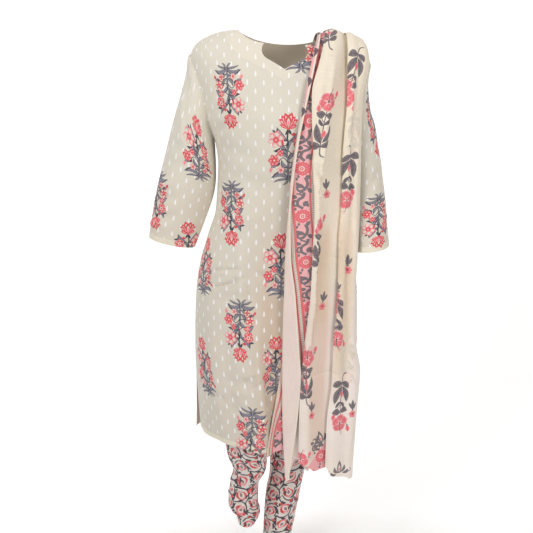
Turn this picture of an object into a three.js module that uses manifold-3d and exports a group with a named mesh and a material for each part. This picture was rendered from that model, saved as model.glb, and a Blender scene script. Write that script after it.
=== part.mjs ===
// Kurti, trousers and stole (a three-piece suit), in the hollow form it takes when worn.
// Millimetres, +Z up, the front faces -Y, the wearer's right arm is on -X.
// The origin is the middle of the shoulder line, where the wearer carries the suit.
import * as THREE from 'three';
import { mergeVertices } from 'three/addons/utils/BufferGeometryUtils.js';
import Module from 'manifold-3d';

// ---- driving dimensions ----
const wall = 1.5;             // kurti and trouser cloth with its turnings
const sheerWall = 1.0;        // stole cloth
const seam = 0.3;             // clearance between two pieces that are sewn together
const shoulderTop = 12;       // the unfinished body tube rises this far above the origin
const tubeEnd = -1090;        // and ends here, below every hem
const sideNeck = 108;         // side neck point, from the middle
const neckVee = -86;          // bottom of the neckline's point
const facingWidth = 46;
const armholeDrop = 203;
const armholeWidth = 113;
const armholeMiddle = new THREE.Vector2(1.5, -160.5);   // y, z
const slitTop = -770;
const slitFront = 42;         // how far each side of the side seam the slit is open at the hem
const slitBack = 26;
const shoulderTilt = 0.045;   // the left shoulder hangs lower by this slope
const tiltFade = [-60, -320]; // full tilt above the first height, none below the second
const fullness = 2.3;         // exponent of the body's sections: 2 is an ellipse
const bodyColumns = 28;       // even steps round the body, with one more at the knee's ridge
const ridgeAngle = THREE.MathUtils.degToRad(97.5);
const sleeveColumns = 16;     // a multiple of 4, shared with the armhole's outline
const panelColumns = 6;
const bandColumns = 20;

// Sections of the body tube: middle, half width, depth in front and depth behind.
const bodySections = [
  { z: shoulderTop, middle: 0, half: 96, front: 50, back: 42 },
  { z: 0, middle: 0, half: sideNeck, front: 56, back: 46 },
  { z: -4, middle: -1, half: 138, front: 62, back: 52 },
  { z: -20, middle: -3, half: 181, front: 76, back: 62 },
  { z: -38, middle: -5, half: 204, front: 88, back: 70 },
  { z: -62, middle: -8, half: 214, front: 100, back: 80 },
  { z: -110, middle: -8, half: 206, front: 116, back: 92 },
  { z: -160, middle: -7, half: 193, front: 126, back: 98 },
  { z: -210, middle: -7, half: 178, front: 134, back: 100 },
  { z: -262, middle: -7, half: 159, front: 134, back: 98 },
  { z: -310, middle: -7, half: 153, front: 130, back: 90 },
  { z: -368, middle: -7, half: 156, front: 124, back: 80 },
  { z: -432, middle: -8, half: 161, front: 122, back: 78 },
  { z: -474, middle: -10, half: 173, front: 122, back: 86 },
  { z: -510, middle: -11, half: 184, front: 124, back: 96 },
  { z: -560, middle: -13, half: 197, front: 127, back: 106 },
  { z: -630, middle: -15, half: 207, front: 131, back: 115 },
  { z: -770, middle: -16, half: 213, front: 133, back: 115 },
  { z: -850, middle: -16, half: 214, front: 134, back: 113 },
  { z: -930, middle: -15, half: 214, front: 134, back: 112 },
  { z: -1000, middle: -15, half: 213, front: 134, back: 112 },
  { z: tubeEnd, middle: -15, half: 213, front: 134, back: 112 },
];

// The forward knee lifts the skirt's right front; a ridge beside it falls away to the left.
const kneeLift = [
  { z: -640, out: 0 }, { z: -740, out: 16 }, { z: -850, out: 38 },
  { z: -950, out: 54 }, { z: -1020, out: 56 }, { z: tubeEnd, out: 56 },
];
const kneeAcross = [
  { x: -235, share: 0.1 }, { x: -190, share: 0.45 }, { x: -140, share: 0.85 },
  { x: -100, share: 1 }, { x: -50, share: 1 }, { x: -15, share: 0.3 }, { x: 42, share: 0 },
];
const skirtTuck = 8;          // the front hem is narrower than the sections, the back hem wider
const skirtFlare = 15;

// Hem lines: height at each place across.
const frontHem = [
  { x: -260, z: -1004 }, { x: -212, z: -1008 }, { x: -192, z: -1004 }, { x: -160, z: -998 },
  { x: -110, z: -998 }, { x: -54, z: -1008 }, { x: 20, z: -1012 }, { x: 260, z: -1018 },
];
const backHem = [{ x: -260, z: -1046 }, { x: 260, z: -1046 }];

// Sleeve sections: outer and inner point of each, the middle's y and the half depth.
const rightSleeve = [
  { out: 233, outZ: -102, inn: 168, innZ: -271, y: 0, depth: 63 },
  { out: 254, outZ: -170, inn: 167, innZ: -292, y: -2, depth: 69 },
  { out: 269, outZ: -217, inn: 166, innZ: -312, y: -5, depth: 67 },
  { out: 286, outZ: -277, inn: 166, innZ: -345, y: -8, depth: 63 },
  { out: 303, outZ: -337, inn: 171, innZ: -384, y: -11, depth: 59 },
  { out: 319, outZ: -401, inn: 186, innZ: -430, y: -15, depth: 54 },
  { out: 328, outZ: -449, inn: 203, innZ: -474, y: -19, depth: 49 },
  { out: 337, outZ: -495, inn: 221, innZ: -520, y: -22, depth: 44 },
];
const leftSleeve = [
  { out: 203, outZ: -106, inn: 154.5, innZ: -273, y: 0, depth: 61 },
  { out: 210, outZ: -173, inn: 153, innZ: -295, y: -3, depth: 66 },
  { out: 223, outZ: -217, inn: 152, innZ: -314, y: -8, depth: 65 },
  { out: 232, outZ: -275, inn: 151, innZ: -342, y: -15, depth: 62 },
  { out: 243, outZ: -340, inn: 153, innZ: -378, y: -26, depth: 59 },
  { out: 251, outZ: -400, inn: 157, innZ: -420, y: -40, depth: 56 },
  { out: 255, outZ: -455, inn: 164, innZ: -470, y: -56, depth: 54 },
  { out: 259, outZ: -503, inn: 172, innZ: -517, y: -74, depth: 52 },
];

// Trouser legs: side seam, inner edge, the middle's y, depths, and how far the crotch seam has
// turned from the middle of the front (0) to the inside of the leg (1).
const waist = { z: -372, height: 34, middle: -8, half: 132, front: 82, back: 64, thick: 2.5 };
const legTop = waist.z - waist.height - seam;
const rightLeg = [
  { z: legTop, side: -140, inner: -8, y: 0, front: 82, back: 64, turn: 0 },
  { z: -470, side: -168, inner: -10, y: 0, front: 92, back: 74, turn: 0 },
  { z: -540, side: -186, inner: -12, y: 0, front: 98, back: 92, turn: 0 },
  { z: -610, side: -193, inner: -14, y: 0, front: 98, back: 100, turn: 0.12 },
  { z: -655, side: -193, inner: -15, y: -2, front: 96, back: 100, turn: 0.45 },
  { z: -690, side: -191, inner: -16, y: -6, front: 94, back: 92, turn: 1 },
  { z: -760, side: -182, inner: -24, y: -28, front: 84, back: 84, turn: 1 },
  { z: -860, side: -168, inner: -28, y: -70, front: 78, back: 74, turn: 1 },
  { z: -950, side: -155, inner: -32, y: -100, front: 72, back: 66, turn: 1 },
  { z: -1040, side: -147, inner: -37, y: -92, front: 62, back: 60, turn: 1 },
  { z: -1115, side: -130, inner: -41, y: -70, front: 52, back: 54, turn: 1 },
  { z: -1165, side: -139, inner: -62, y: -62, front: 48, back: 50, turn: 1 },
  { z: -1236, side: -146, inner: -64, y: -52, front: 46, back: 50, turn: 1 },
  { z: -1265, side: -126, inner: -58, y: -48, front: 44, back: 48, turn: 1 },
  { z: -1293, side: -121, inner: -70, y: -44, front: 42, back: 44, turn: 1 },
];
const leftLeg = [
  { z: legTop, side: 124, inner: -8, y: 0, front: 82, back: 64, turn: 0 },
  { z: -470, side: 148, inner: -10, y: 0, front: 92, back: 74, turn: 0 },
  { z: -540, side: 162, inner: -12, y: 0, front: 98, back: 92, turn: 0 },
  { z: -610, side: 166, inner: -14, y: 0, front: 98, back: 100, turn: 0.12 },
  { z: -655, side: 165, inner: -15, y: 0, front: 94, back: 100, turn: 0.45 },
  { z: -690, side: 162, inner: -16, y: 0, front: 88, back: 92, turn: 1 },
  { z: -760, side: 150, inner: -10, y: 0, front: 80, back: 84, turn: 1 },
  { z: -860, side: 128, inner: -12, y: 2, front: 70, back: 72, turn: 1 },
  { z: -950, side: 110, inner: -18, y: 4, front: 62, back: 64, turn: 1 },
  { z: -1040, side: 92, inner: -26, y: 6, front: 56, back: 60, turn: 1 },
  { z: -1100, side: 80, inner: -31, y: 8, front: 52, back: 57, turn: 1 },
  { z: -1175, side: 65, inner: -32, y: 10, front: 48, back: 54, turn: 1 },
  { z: -1235, side: 54, inner: -42, y: 10, front: 46, back: 51, turn: 1 },
  { z: -1310, side: 42, inner: -48, y: 10, front: 44, back: 48, turn: 1 },
  { z: -1388, side: 28, inner: -51, y: 10, front: 42, back: 45, turn: 1 },
];

// Stole: where its fold lines lie across, at each of these heights down the front.
const dropHeights = [0, -60, -140, -265, -415, -600, -745, -820, -950, -1080];
const foldLines = {
  inner: [76, 62, 45, 23, 13, 1, -2, -2, -1, 6],          // the turned selvedge's fold
  selvedge: [84, 71, 54, 32, 23, 29, 42, 44, 35, 18],     // its free edge
  first: [94, 79, 60, 60, 65, 62, 47, 43, 40, 40],        // left fold of the first pleat
  fall: [134, 130, 118, 105, 88, 86, 82, 80, 80, 82],     // where the first pleat drops back
  second: [142, 142, 143, 139, 136, 132, 119, 118, 110, 109],
  outer: [188, 194, 182, 180, 181, 175, 182, 195, 189, 184],
};
// Depth that the stole lies out from the middle plane, near the neck side and at the arm.
const stoleBase = [
  { z: -60, near: 100, arm: 72 }, { z: -110, near: 117, arm: 76 }, { z: -160, near: 127, arm: 78 },
  { z: -230, near: 136, arm: 82 }, { z: -310, near: 138, arm: 88 }, { z: -420, near: 139, arm: 94 },
  { z: -510, near: 140, arm: 103 }, { z: -700, near: 142, arm: 107 }, { z: -850, near: 144, arm: 108 },
  { z: -1100, near: 147, arm: 110 },
];
const stoleBackBase = [
  { z: -60, near: 84, arm: 70 }, { z: -110, near: 96, arm: 74 }, { z: -160, near: 102, arm: 76 },
  { z: -260, near: 106, arm: 76 }, { z: -420, near: 106, arm: 80 }, { z: -600, near: 122, arm: 96 },
  { z: -1000, near: 126, arm: 100 },
];
const baseNear = 60;
const baseArm = 175;
// Top of the stole over the shoulder line, at places across.
const shoulderPress = 0.4;    // the pleats are pressed together by this much on the shoulder
const shoulderRise = [
  { x: 60, z: -8 }, { x: 85, z: -1 }, { x: 108, z: 3 }, { x: 138, z: 0 }, { x: 181, z: -15 },
  { x: 204, z: -33 },
];
// One row for each point of the pleated section, from the free selvedge to the hidden edge:
// the fold line it follows, its distance from that line, its height off the body, its hem.
const foldTurn = 2.4;
const pleats = [
  { line: 'selvedge', aside: 0, lift: 11, hem: -1100, turn: 0 },
  { line: 'inner', aside: foldTurn, lift: 7.5, hem: -1106, turn: -1, rise: -1 },
  { line: 'inner', aside: 30, lift: 3.5, hem: -1046, turn: 0 },
  { line: 'first', aside: 24, lift: 5.5, hem: -1078, turn: 1, rise: 1 },
  { line: 'first', aside: foldTurn, lift: 12.5, hem: -1053, turn: -1, rise: 1 },
  { line: 'first', aside: 18, lift: 22, hem: -1056, turn: 0 },
  { line: 'fall', aside: -12, lift: 20, hem: -1066, turn: 0 },
  { line: 'fall', aside: 2, lift: 11, hem: -1079, turn: 0 },
  { line: 'second', aside: -10, lift: 4, hem: -1079, turn: 0 },
  { line: 'second', aside: 15, lift: 5.5, hem: -1076, turn: 1, rise: 1 },
  { line: 'second', aside: foldTurn, lift: 12.5, hem: -1072, turn: -1, rise: 1 },
  { line: 'second', aside: 14, lift: 24, hem: -1092, turn: 0 },
  { line: 'outer', aside: -24, lift: 19, hem: -1106, turn: 0 },
  { line: 'outer', aside: -9, lift: 22, hem: -1114, turn: 0 },
  { line: 'outer', aside: -foldTurn, lift: 12, hem: -1116, turn: 1, rise: -1 },
  { line: 'outer', aside: -26, lift: 4, hem: -1090, turn: 0 },
];
const frontRows = 10;
const backRows = 6;
const overRows = 6;
const backHemRise = 130;      // the back end of the stole hangs this much shorter
const stoleTop = -60;         // height where the front and back stretches end at the shoulder
// The stole's inner corner, which shows below the first pleat and lies on the skirt.
const cornerRows = [
  { z: -700, left: 12, right: 60 }, { z: -760, left: 2, right: 60 },
  { z: -822, left: -8, right: 56 }, { z: -880, left: -17, right: 52 },
  { z: -942, left: -29, right: 48 }, { z: -1000, left: -39, right: 44 },
  { z: -1022, left: -41, right: 40 },
];
const cornerColumns = 7;
const cornerClear = 2;

// ---- reading the tables ----
function between(rows, key, name, value) {
  const rising = rows[rows.length - 1][key] > rows[0][key];
  const past = (row) => (rising ? row[key] >= value : row[key] <= value);
  let next = rows.findIndex(past);
  if (next < 0) return rows[rows.length - 1][name];
  if (next === 0) return rows[0][name];
  const low = rows[next - 1];
  const high = rows[next];
  const share = (value - low[key]) / (high[key] - low[key]);
  return low[name] + (high[name] - low[name]) * share;
}

function foldAt(line, z) {
  const rows = dropHeights.map((height, i) => ({ z: height, x: foldLines[line][i] }));
  return between(rows, 'z', 'x', z);
}

const smooth = (t) => THREE.MathUtils.smoothstep(t, 0, 1);

// ---- surfaces ----
function bodyPoint(z, angle) {
  const row = (name) => between(bodySections, 'z', name, z);
  const c = Math.cos(angle);
  const s = Math.sin(angle);
  const bow = (v) => Math.sign(v) * Math.abs(v) ** (2 / fullness);
  const spread = Math.abs(s) < 1e-6 ? 0 : (s > 0 ? -skirtTuck : skirtFlare);
  const low = THREE.MathUtils.clamp((slitTop - z) / (slitTop - tubeEnd), 0, 1);
  const x = row('middle') + (row('half') + spread * low) * bow(c);
  const depth = s > 0 ? row('front') : row('back');
  const knee = s > 0 ? kneeOut(x, z) * Math.min(1, 2.2 * s) : 0;
  return new THREE.Vector3(x, -depth * bow(s) - knee, z);
}

function kneeOut(x, z) {
  return between(kneeLift, 'z', 'out', z) * between(kneeAcross, 'x', 'share', x);
}

function bodyFrontY(x, z) {
  const row = (name) => between(bodySections, 'z', name, z);
  const across = Math.min(1, Math.abs(x - row('middle')) / row('half'));
  return -row('front') * (1 - across ** fullness) ** (1 / fullness) - kneeOut(x, z);
}

function bodySideX(side, y, z) {
  const row = (name) => between(bodySections, 'z', name, z);
  const depth = Math.min(1, Math.abs(y) / (y < 0 ? row('front') : row('back')));
  return row('middle') + side * row('half') * (1 - depth ** fullness) ** (1 / fullness);
}

// The whole upper garment leans a little to the left shoulder.
function lean(geometry) {
  const at = geometry.getAttribute('position');
  for (let i = 0; i < at.count; i += 1) {
    const fade = smooth((at.getZ(i) - tiltFade[1]) / (tiltFade[0] - tiltFade[1]));
    at.setZ(i, at.getZ(i) - shoulderTilt * (at.getX(i) + sideNeck) * fade);
  }
  return geometry;
}

// ---- solids from grids of points ----
// Direction of a line of points at one of them; at an end it follows the line's bend.
function slopeAt(line, i) {
  const last = line.length - 1;
  if (i > 0 && i < last) return line[i + 1].clone().sub(line[i - 1]);
  const step = i === 0 ? 1 : -1;
  const near = line[i + step].clone().sub(line[i]);
  const far = line[i + 2 * step].clone().sub(line[i]);
  const nearRun = near.length();
  const farRun = nearRun + line[i + 2 * step].distanceTo(line[i + step]);
  return near.multiplyScalar(farRun / nearRun).addScaledVector(far, -nearRun / farRun)
    .multiplyScalar(step);
}

function gridNormals(grid, closed) {
  const count = grid[0].length;
  return grid.map((row, j) => row.map((point, i) => {
    const across = closed
      ? row[(i + 1) % count].clone().sub(row[(i + count - 1) % count])
      : slopeAt(row, i);
    const along = slopeAt(grid.map((line) => line[i]), j);
    return across.cross(along).normalize();
  }));
}

// A sheet of cloth: the grid is its outside, and the wall goes inwards.
function sheetSolid(grid, thickness, closed = false) {
  const normals = gridNormals(grid, closed);
  const inner = grid.map((row, j) => row.map((p, i) => (
    p.clone().addScaledVector(normals[j][i], -thickness))));
  const rows = grid.length;
  const columns = grid[0].length;
  const points = [...grid.flat(), ...inner.flat()];
  const outside = (j, i) => j * columns + (i % columns);
  const inside = (j, i) => rows * columns + outside(j, i);
  const faces = [];
  const quad = (a, b, c, d) => faces.push(a, b, c, a, c, d);
  const steps = closed ? columns : columns - 1;
  for (let j = 0; j < rows - 1; j += 1) {
    for (let i = 0; i < steps; i += 1) {
      quad(outside(j, i), outside(j, i + 1), outside(j + 1, i + 1), outside(j + 1, i));
      quad(inside(j, i), inside(j + 1, i), inside(j + 1, i + 1), inside(j, i + 1));
    }
  }
  for (let i = 0; i < steps; i += 1) {
    quad(outside(0, i), inside(0, i), inside(0, i + 1), outside(0, i + 1));
    quad(outside(rows - 1, i), outside(rows - 1, i + 1), inside(rows - 1, i + 1), inside(rows - 1, i));
  }
  if (!closed) {
    for (let j = 0; j < rows - 1; j += 1) {
      quad(outside(j, 0), outside(j + 1, 0), inside(j + 1, 0), inside(j, 0));
      quad(outside(j, columns - 1), inside(j, columns - 1), inside(j + 1, columns - 1),
        outside(j + 1, columns - 1));
    }
  }
  return outward(solidGeometry(points, faces));
}

// A closed tube with a flat cap at each end, for cutting.
function tubeSolid(rings) {
  const columns = rings[0].length;
  const points = rings.flat();
  const faces = [];
  for (let j = 0; j < rings.length - 1; j += 1) {
    for (let i = 0; i < columns; i += 1) {
      const a = j * columns + i;
      const b = j * columns + ((i + 1) % columns);
      faces.push(a, b, b + columns, a, b + columns, a + columns);
    }
  }
  const lastRing = (rings.length - 1) * columns;
  for (const [start, turn] of [[0, -1], [lastRing, 1]]) {
    const middle = points.length;
    const centre = new THREE.Vector3();
    for (let i = 0; i < columns; i += 1) centre.addScaledVector(points[start + i], 1 / columns);
    points.push(centre);
    for (let i = 0; i < columns; i += 1) {
      const a = start + i;
      const b = start + ((i + 1) % columns);
      faces.push(...(turn > 0 ? [a, b, middle] : [b, a, middle]));
    }
  }
  return outward(solidGeometry(points, faces));
}

function solidGeometry(points, faces) {
  const geometry = new THREE.BufferGeometry();
  geometry.setAttribute('position', new THREE.Float32BufferAttribute(
    points.flatMap((p) => [p.x, p.y, p.z]), 3));
  geometry.setIndex(faces);
  return geometry;
}

function outward(geometry) {
  const at = geometry.getAttribute('position');
  const index = geometry.getIndex().array;
  const corner = (k) => new THREE.Vector3().fromBufferAttribute(at, index[k]);
  let volume = 0;
  for (let k = 0; k < index.length; k += 3) {
    volume += corner(k).dot(corner(k + 1).cross(corner(k + 2)));
  }
  if (volume < 0) {
    for (let k = 0; k < index.length; k += 3) {
      [index[k], index[k + 1]] = [index[k + 1], index[k]];
    }
  }
  return geometry;
}

// ---- cutting ----
const wasm = await Module();
wasm.setup();

function toSolid(geometry) {
  const plain = geometry.clone();
  plain.deleteAttribute('normal');
  plain.deleteAttribute('uv');
  const merged = mergeVertices(plain, 1e-4);
  return new wasm.Manifold(new wasm.Mesh({
    numProp: 3,
    vertProperties: new Float32Array(merged.getAttribute('position').array),
    triVerts: new Uint32Array(merged.getIndex().array),
  }));
}

function toGeometry(solid) {
  const mesh = solid.getMesh();
  const geometry = new THREE.BufferGeometry();
  geometry.setAttribute('position', new THREE.Float32BufferAttribute(mesh.vertProperties, 3));
  geometry.setIndex(Array.from(mesh.triVerts));
  return geometry;
}

// A prism whose outline is drawn in x and z, between two values of y.
function frontPrism(shape, yFrom, yTo) {
  const geometry = new THREE.ExtrudeGeometry(shape, {
    depth: yTo - yFrom, bevelEnabled: false, curveSegments: 6,
  });
  geometry.rotateX(Math.PI / 2);
  geometry.translate(0, yTo, 0);
  return toSolid(geometry);
}

// A prism whose outline is drawn in y and z, from one x outwards to another.
function sidePrism(shape, xFrom, xTo) {
  const geometry = new THREE.ExtrudeGeometry(shape, {
    depth: xTo - xFrom, bevelEnabled: false, curveSegments: sleeveColumns / 2,
  });
  geometry.rotateY(Math.PI / 2);
  geometry.rotateX(Math.PI / 2);
  geometry.translate(xFrom, 0, 0);
  return toSolid(geometry);
}

// The neckline: a round neck whose front opens into a pot shape with a point below it.
function frontNeckShape() {
  const shape = new THREE.Shape();
  const tip = new THREE.Vector2(45.7, -31);
  const lobe = { x: 29.5, z: -45, radius: 22 };
  const start = Math.atan2(tip.y - lobe.z, tip.x - lobe.x);
  const end = THREE.MathUtils.degToRad(-60);
  shape.moveTo(-sideNeck, 0);
  shape.quadraticCurveTo(-86, -28, -tip.x, tip.y);
  shape.absarc(-lobe.x, lobe.z, lobe.radius, Math.PI - start, Math.PI - end, false);
  shape.lineTo(0, neckVee);
  shape.absarc(lobe.x, lobe.z, lobe.radius, end, start, false);
  shape.lineTo(tip.x, tip.y);
  shape.quadraticCurveTo(86, -28, sideNeck, 0);
  shape.lineTo(sideNeck + 20, 40);
  shape.lineTo(-sideNeck - 20, 40);
  shape.closePath();
  return shape;
}

function backNeckShape() {
  const shape = new THREE.Shape();
  shape.moveTo(-sideNeck, 0);
  shape.quadraticCurveTo(-70, -24, 0, -25);
  shape.quadraticCurveTo(70, -24, sideNeck, 0);
  shape.lineTo(sideNeck + 20, 40);
  shape.lineTo(-sideNeck - 20, 40);
  shape.closePath();
  return shape;
}

// The facing's outer edge runs alongside the neckline and comes to a point below it.
function facingShape() {
  const shape = new THREE.Shape();
  const side = sideNeck + facingWidth * 0.62;
  const low = neckVee - facingWidth * 0.55;
  shape.moveTo(-side, 60);
  shape.lineTo(-side, -9);
  shape.bezierCurveTo(-side + 18, -66, -62, -80, 0, low);
  shape.bezierCurveTo(62, -80, side - 18, -66, side, -9);
  shape.lineTo(side, 60);
  shape.closePath();
  return shape;
}

function hemShape(rows) {
  const shape = new THREE.Shape();
  const floor = tubeEnd - 60;
  shape.moveTo(rows[0].x, floor);
  shape.lineTo(rows[rows.length - 1].x, floor);
  for (const row of [...rows].reverse()) shape.lineTo(row.x, row.z);
  shape.closePath();
  return shape;
}

// In these two outlines the first number is y and the second is z.
function armholeShape() {
  const shape = new THREE.Shape();
  shape.absellipse(armholeMiddle.x, armholeMiddle.y, armholeWidth / 2, armholeDrop / 2, 0, 2 * Math.PI);
  return shape;
}

function slitShape() {
  const shape = new THREE.Shape();
  const drop = slitTop - tubeEnd + 20;
  shape.moveTo(-seam / 2, slitTop);
  shape.lineTo(-slitFront * drop / 260, slitTop - drop);
  shape.lineTo(slitBack * drop / 260, slitTop - drop);
  shape.lineTo(seam / 2, slitTop);
  shape.closePath();
  return shape;
}

function boxShape(x0, x1, z0, z1) {
  const shape = new THREE.Shape();
  shape.moveTo(x0, z0);
  shape.lineTo(x1, z0);
  shape.lineTo(x1, z1);
  shape.lineTo(x0, z1);
  shape.closePath();
  return shape;
}

// ---- the kurti's body ----
function bodyRings(inset) {
  const even = Array.from({ length: bodyColumns }, (_, i) => (i / bodyColumns) * 2 * Math.PI);
  const angles = [...even, ridgeAngle].sort((a, b) => a - b);
  const grid = bodySections.map((row) => angles.map((angle) => bodyPoint(row.z, angle)));
  const normals = gridNormals(grid, true);
  const direction = normals[5][0].x > 0 ? -1 : 1;
  return grid.map((ring, j) => ring.map((p, i) => (
    p.clone().addScaledVector(normals[j][i], direction * inset))));
}

function bodyShell(inset, thickness) {
  const outside = toSolid(tubeSolid(bodyRings(inset)));
  const inside = toSolid(tubeSolid(bodyRings(inset + thickness)));
  return outside.subtract(inside);
}

const reach = 400;
const frontHalf = frontPrism(boxShape(-reach, reach, tubeEnd - 90, 90), -reach, -seam / 2);
const backHalf = frontPrism(boxShape(-reach, reach, tubeEnd - 90, 90), seam / 2, reach);

function kurtiPanels() {
  const armholeInner = 120;
  const armholes = sidePrism(armholeShape(), armholeInner, reach)
    .add(sidePrism(armholeShape(), -reach, -armholeInner));
  const slits = sidePrism(slitShape(), armholeInner, reach)
    .add(sidePrism(slitShape(), -reach, -armholeInner));
  const body = bodyShell(0, wall).subtract(armholes).subtract(slits);
  const front = body.intersect(frontHalf)
    .subtract(frontPrism(frontNeckShape(), -reach, 0))
    .subtract(frontPrism(hemShape(frontHem), -reach, 0));
  const back = body.intersect(backHalf)
    .subtract(frontPrism(backNeckShape(), 0, reach))
    .subtract(frontPrism(hemShape(backHem), 0, reach));
  const facing = bodyShell(wall + seam, sheerWall).intersect(frontHalf)
    .intersect(frontPrism(facingShape(), -reach, 0))
    .subtract(frontPrism(frontNeckShape(), -reach, 0))
    .subtract(armholes);
  return { front: toGeometry(front), back: toGeometry(back), facing: toGeometry(facing) };
}

// ---- sleeves ----
function sleeveGrid(side, sections) {
  // The head of the sleeve passes through the armhole, a seam's clearance inside its edge.
  const head = [-1.5, 3].map((proud) => {
    const ring = [];
    for (let i = 0; i < sleeveColumns; i += 1) {
      const angle = (i / sleeveColumns) * 2 * Math.PI;
      const y = armholeMiddle.x + (armholeWidth / 2 - seam) * Math.sin(angle);
      const z = armholeMiddle.y + (armholeDrop / 2 - seam) * Math.cos(angle);
      ring.push(new THREE.Vector3(bodySideX(side, y, z) + side * proud, y, z));
    }
    return ring;
  });
  const rings = sections.map((row) => {
    const outer = new THREE.Vector3(side * row.out, row.y, row.outZ);
    const inner = new THREE.Vector3(side * row.inn, row.y, row.innZ);
    const middle = outer.clone().add(inner).multiplyScalar(0.5);
    const reachOut = outer.clone().sub(middle);
    const ring = [];
    for (let i = 0; i < sleeveColumns; i += 1) {
      const angle = (i / sleeveColumns) * 2 * Math.PI;
      const point = middle.clone().addScaledVector(reachOut, Math.cos(angle));
      point.y += row.depth * Math.sin(angle);
      ring.push(point);
    }
    return ring;
  });
  const grid = [...head, ...rings];
  return side < 0 ? grid : grid.map((ring) => [ring[0], ...ring.slice(1).reverse()]);
}

// ---- trousers ----
function legPanel(rows, side, face) {
  // face -1 is the front panel, 1 the back panel
  const gap = seam * 0.8;
  const grid = rows.map((row) => {
    const depth = face < 0 ? row.front : row.back;
    const sideY = row.y + face * gap;
    const innerY = row.y + face * (gap + (depth - gap) * (1 - smooth(row.turn)));
    const innerX = row.inner + side * (row.turn < 1 ? gap : Math.max(gap, 0));
    const start = new THREE.Vector2(row.side, sideY);
    const end = new THREE.Vector2(innerX, innerY);
    const quarter = 0.55;
    const half = 4 / 3;
    const turn = smooth(row.turn);
    const handle = THREE.MathUtils.lerp(quarter, half, turn) * depth;
    const width = Math.abs(row.side - innerX);
    const swing = turn * Math.PI / 2;
    const tangent = new THREE.Vector2(
      side * Math.cos(swing) * quarter * width, face * Math.sin(swing) * half * depth);
    const curve = new THREE.CubicBezierCurve(
      start, start.clone().add(new THREE.Vector2(0, face * handle)), end.clone().add(tangent), end);
    return curve.getPoints(panelColumns).map((p) => new THREE.Vector3(p.x, p.y, row.z));
  });
  return face * side > 0 ? grid.map((row) => row.reverse()) : grid;
}

function waistbandGrid() {
  return [0, 0.5, 1].map((share) => {
    const ring = [];
    for (let i = 0; i < bandColumns; i += 1) {
      const angle = -(i / bandColumns) * 2 * Math.PI;
      const bow = (v) => Math.sign(v) * Math.abs(v) ** (2 / fullness);
      const depth = Math.sin(angle) > 0 ? waist.front : waist.back;
      ring.push(new THREE.Vector3(
        waist.middle + waist.half * bow(Math.cos(angle)), -depth * bow(Math.sin(angle)),
        waist.z - share * waist.height));
    }
    return ring.reverse();
  });
}

// ---- stole ----
// The pleated section: each fold turn becomes three points.
function sectionPoints() {
  const points = [];
  for (const row of pleats) {
    if (row.turn === 0) {
      points.push(row);
    } else {
      points.push({ ...row, lift: row.lift - row.rise * foldTurn });
      points.push({ ...row, aside: row.aside + row.turn * foldTurn });
      points.push({ ...row, lift: row.lift + row.rise * foldTurn });
    }
  }
  return points;
}

function baseDepth(table, x, z) {
  const share = THREE.MathUtils.clamp((x - baseNear) / (baseArm - baseNear), 0, 1.25);
  const near = between(table, 'z', 'near', z);
  const arm = between(table, 'z', 'arm', z);
  return near + (arm - near) * share ** 1.3;
}

function hangingGrid(rows, face, hemRise) {
  // face -1 hangs in front, 1 behind
  const table = face < 0 ? stoleBase : stoleBackBase;
  const start = stoleTop - seam;
  const grid = [];
  for (let j = 0; j < rows; j += 1) {
    const row = sectionPoints().map((point) => {
      const end = point.hem + hemRise;
      const z = start + (end - start) * (j / (rows - 1));
      const x = foldAt(point.line, z) + point.aside;
      const lift = baseDepth(table, x, z) + point.lift;
      return new THREE.Vector3(x, face * lift, z);
    });
    grid.push(face < 0 ? row : row.reverse());
  }
  return grid;
}

function overShoulderGrid() {
  const grid = [];
  const roundness = 2.5;
  const foot = stoleTop + seam;
  for (let j = 0; j < overRows; j += 1) {
    const angle = Math.PI * (j / (overRows - 1));
    const rise = Math.sin(angle) ** (2 / roundness);
    const swing = Math.sign(Math.cos(angle)) * Math.abs(Math.cos(angle)) ** (2 / roundness);
    grid.push(sectionPoints().map((point) => {
      const x = foldAt(point.line, stoleTop * (1 - rise)) + point.aside;
      const front = baseDepth(stoleBase, x, stoleTop) + point.lift;
      const back = baseDepth(stoleBackBase, x, stoleTop) + point.lift;
      const crest = between(shoulderRise, 'x', 'z', x) + point.lift * shoulderPress;
      return new THREE.Vector3(
        x,
        (back - front) / 2 - (back + front) / 2 * swing,
        foot + (crest - foot) * rise);
    }));
  }
  return grid.reverse();
}

function cornerGrid() {
  return cornerRows.map((row) => {
    const line = [];
    for (let i = 0; i <= cornerColumns; i += 1) {
      const x = THREE.MathUtils.lerp(row.left, row.right, i / cornerColumns);
      line.push(new THREE.Vector3(x, bodyFrontY(x, row.z) - cornerClear, row.z));
    }
    return line;
  });
}

// ---- assembly ----
const suit = new THREE.Group();

function addPiece(name, geometry, color, roughness) {
  const material = new THREE.MeshStandardMaterial({ color, roughness, metalness: 0 });
  const mesh = new THREE.Mesh(geometry, material);
  mesh.name = name;
  suit.add(mesh);
}

const kurtiColor = 0xeee6d0;
const facingColor = 0xf3ecd8;
const trouserColor = 0xe9dbd8;
const stoleColor = 0xf2e4da;

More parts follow.
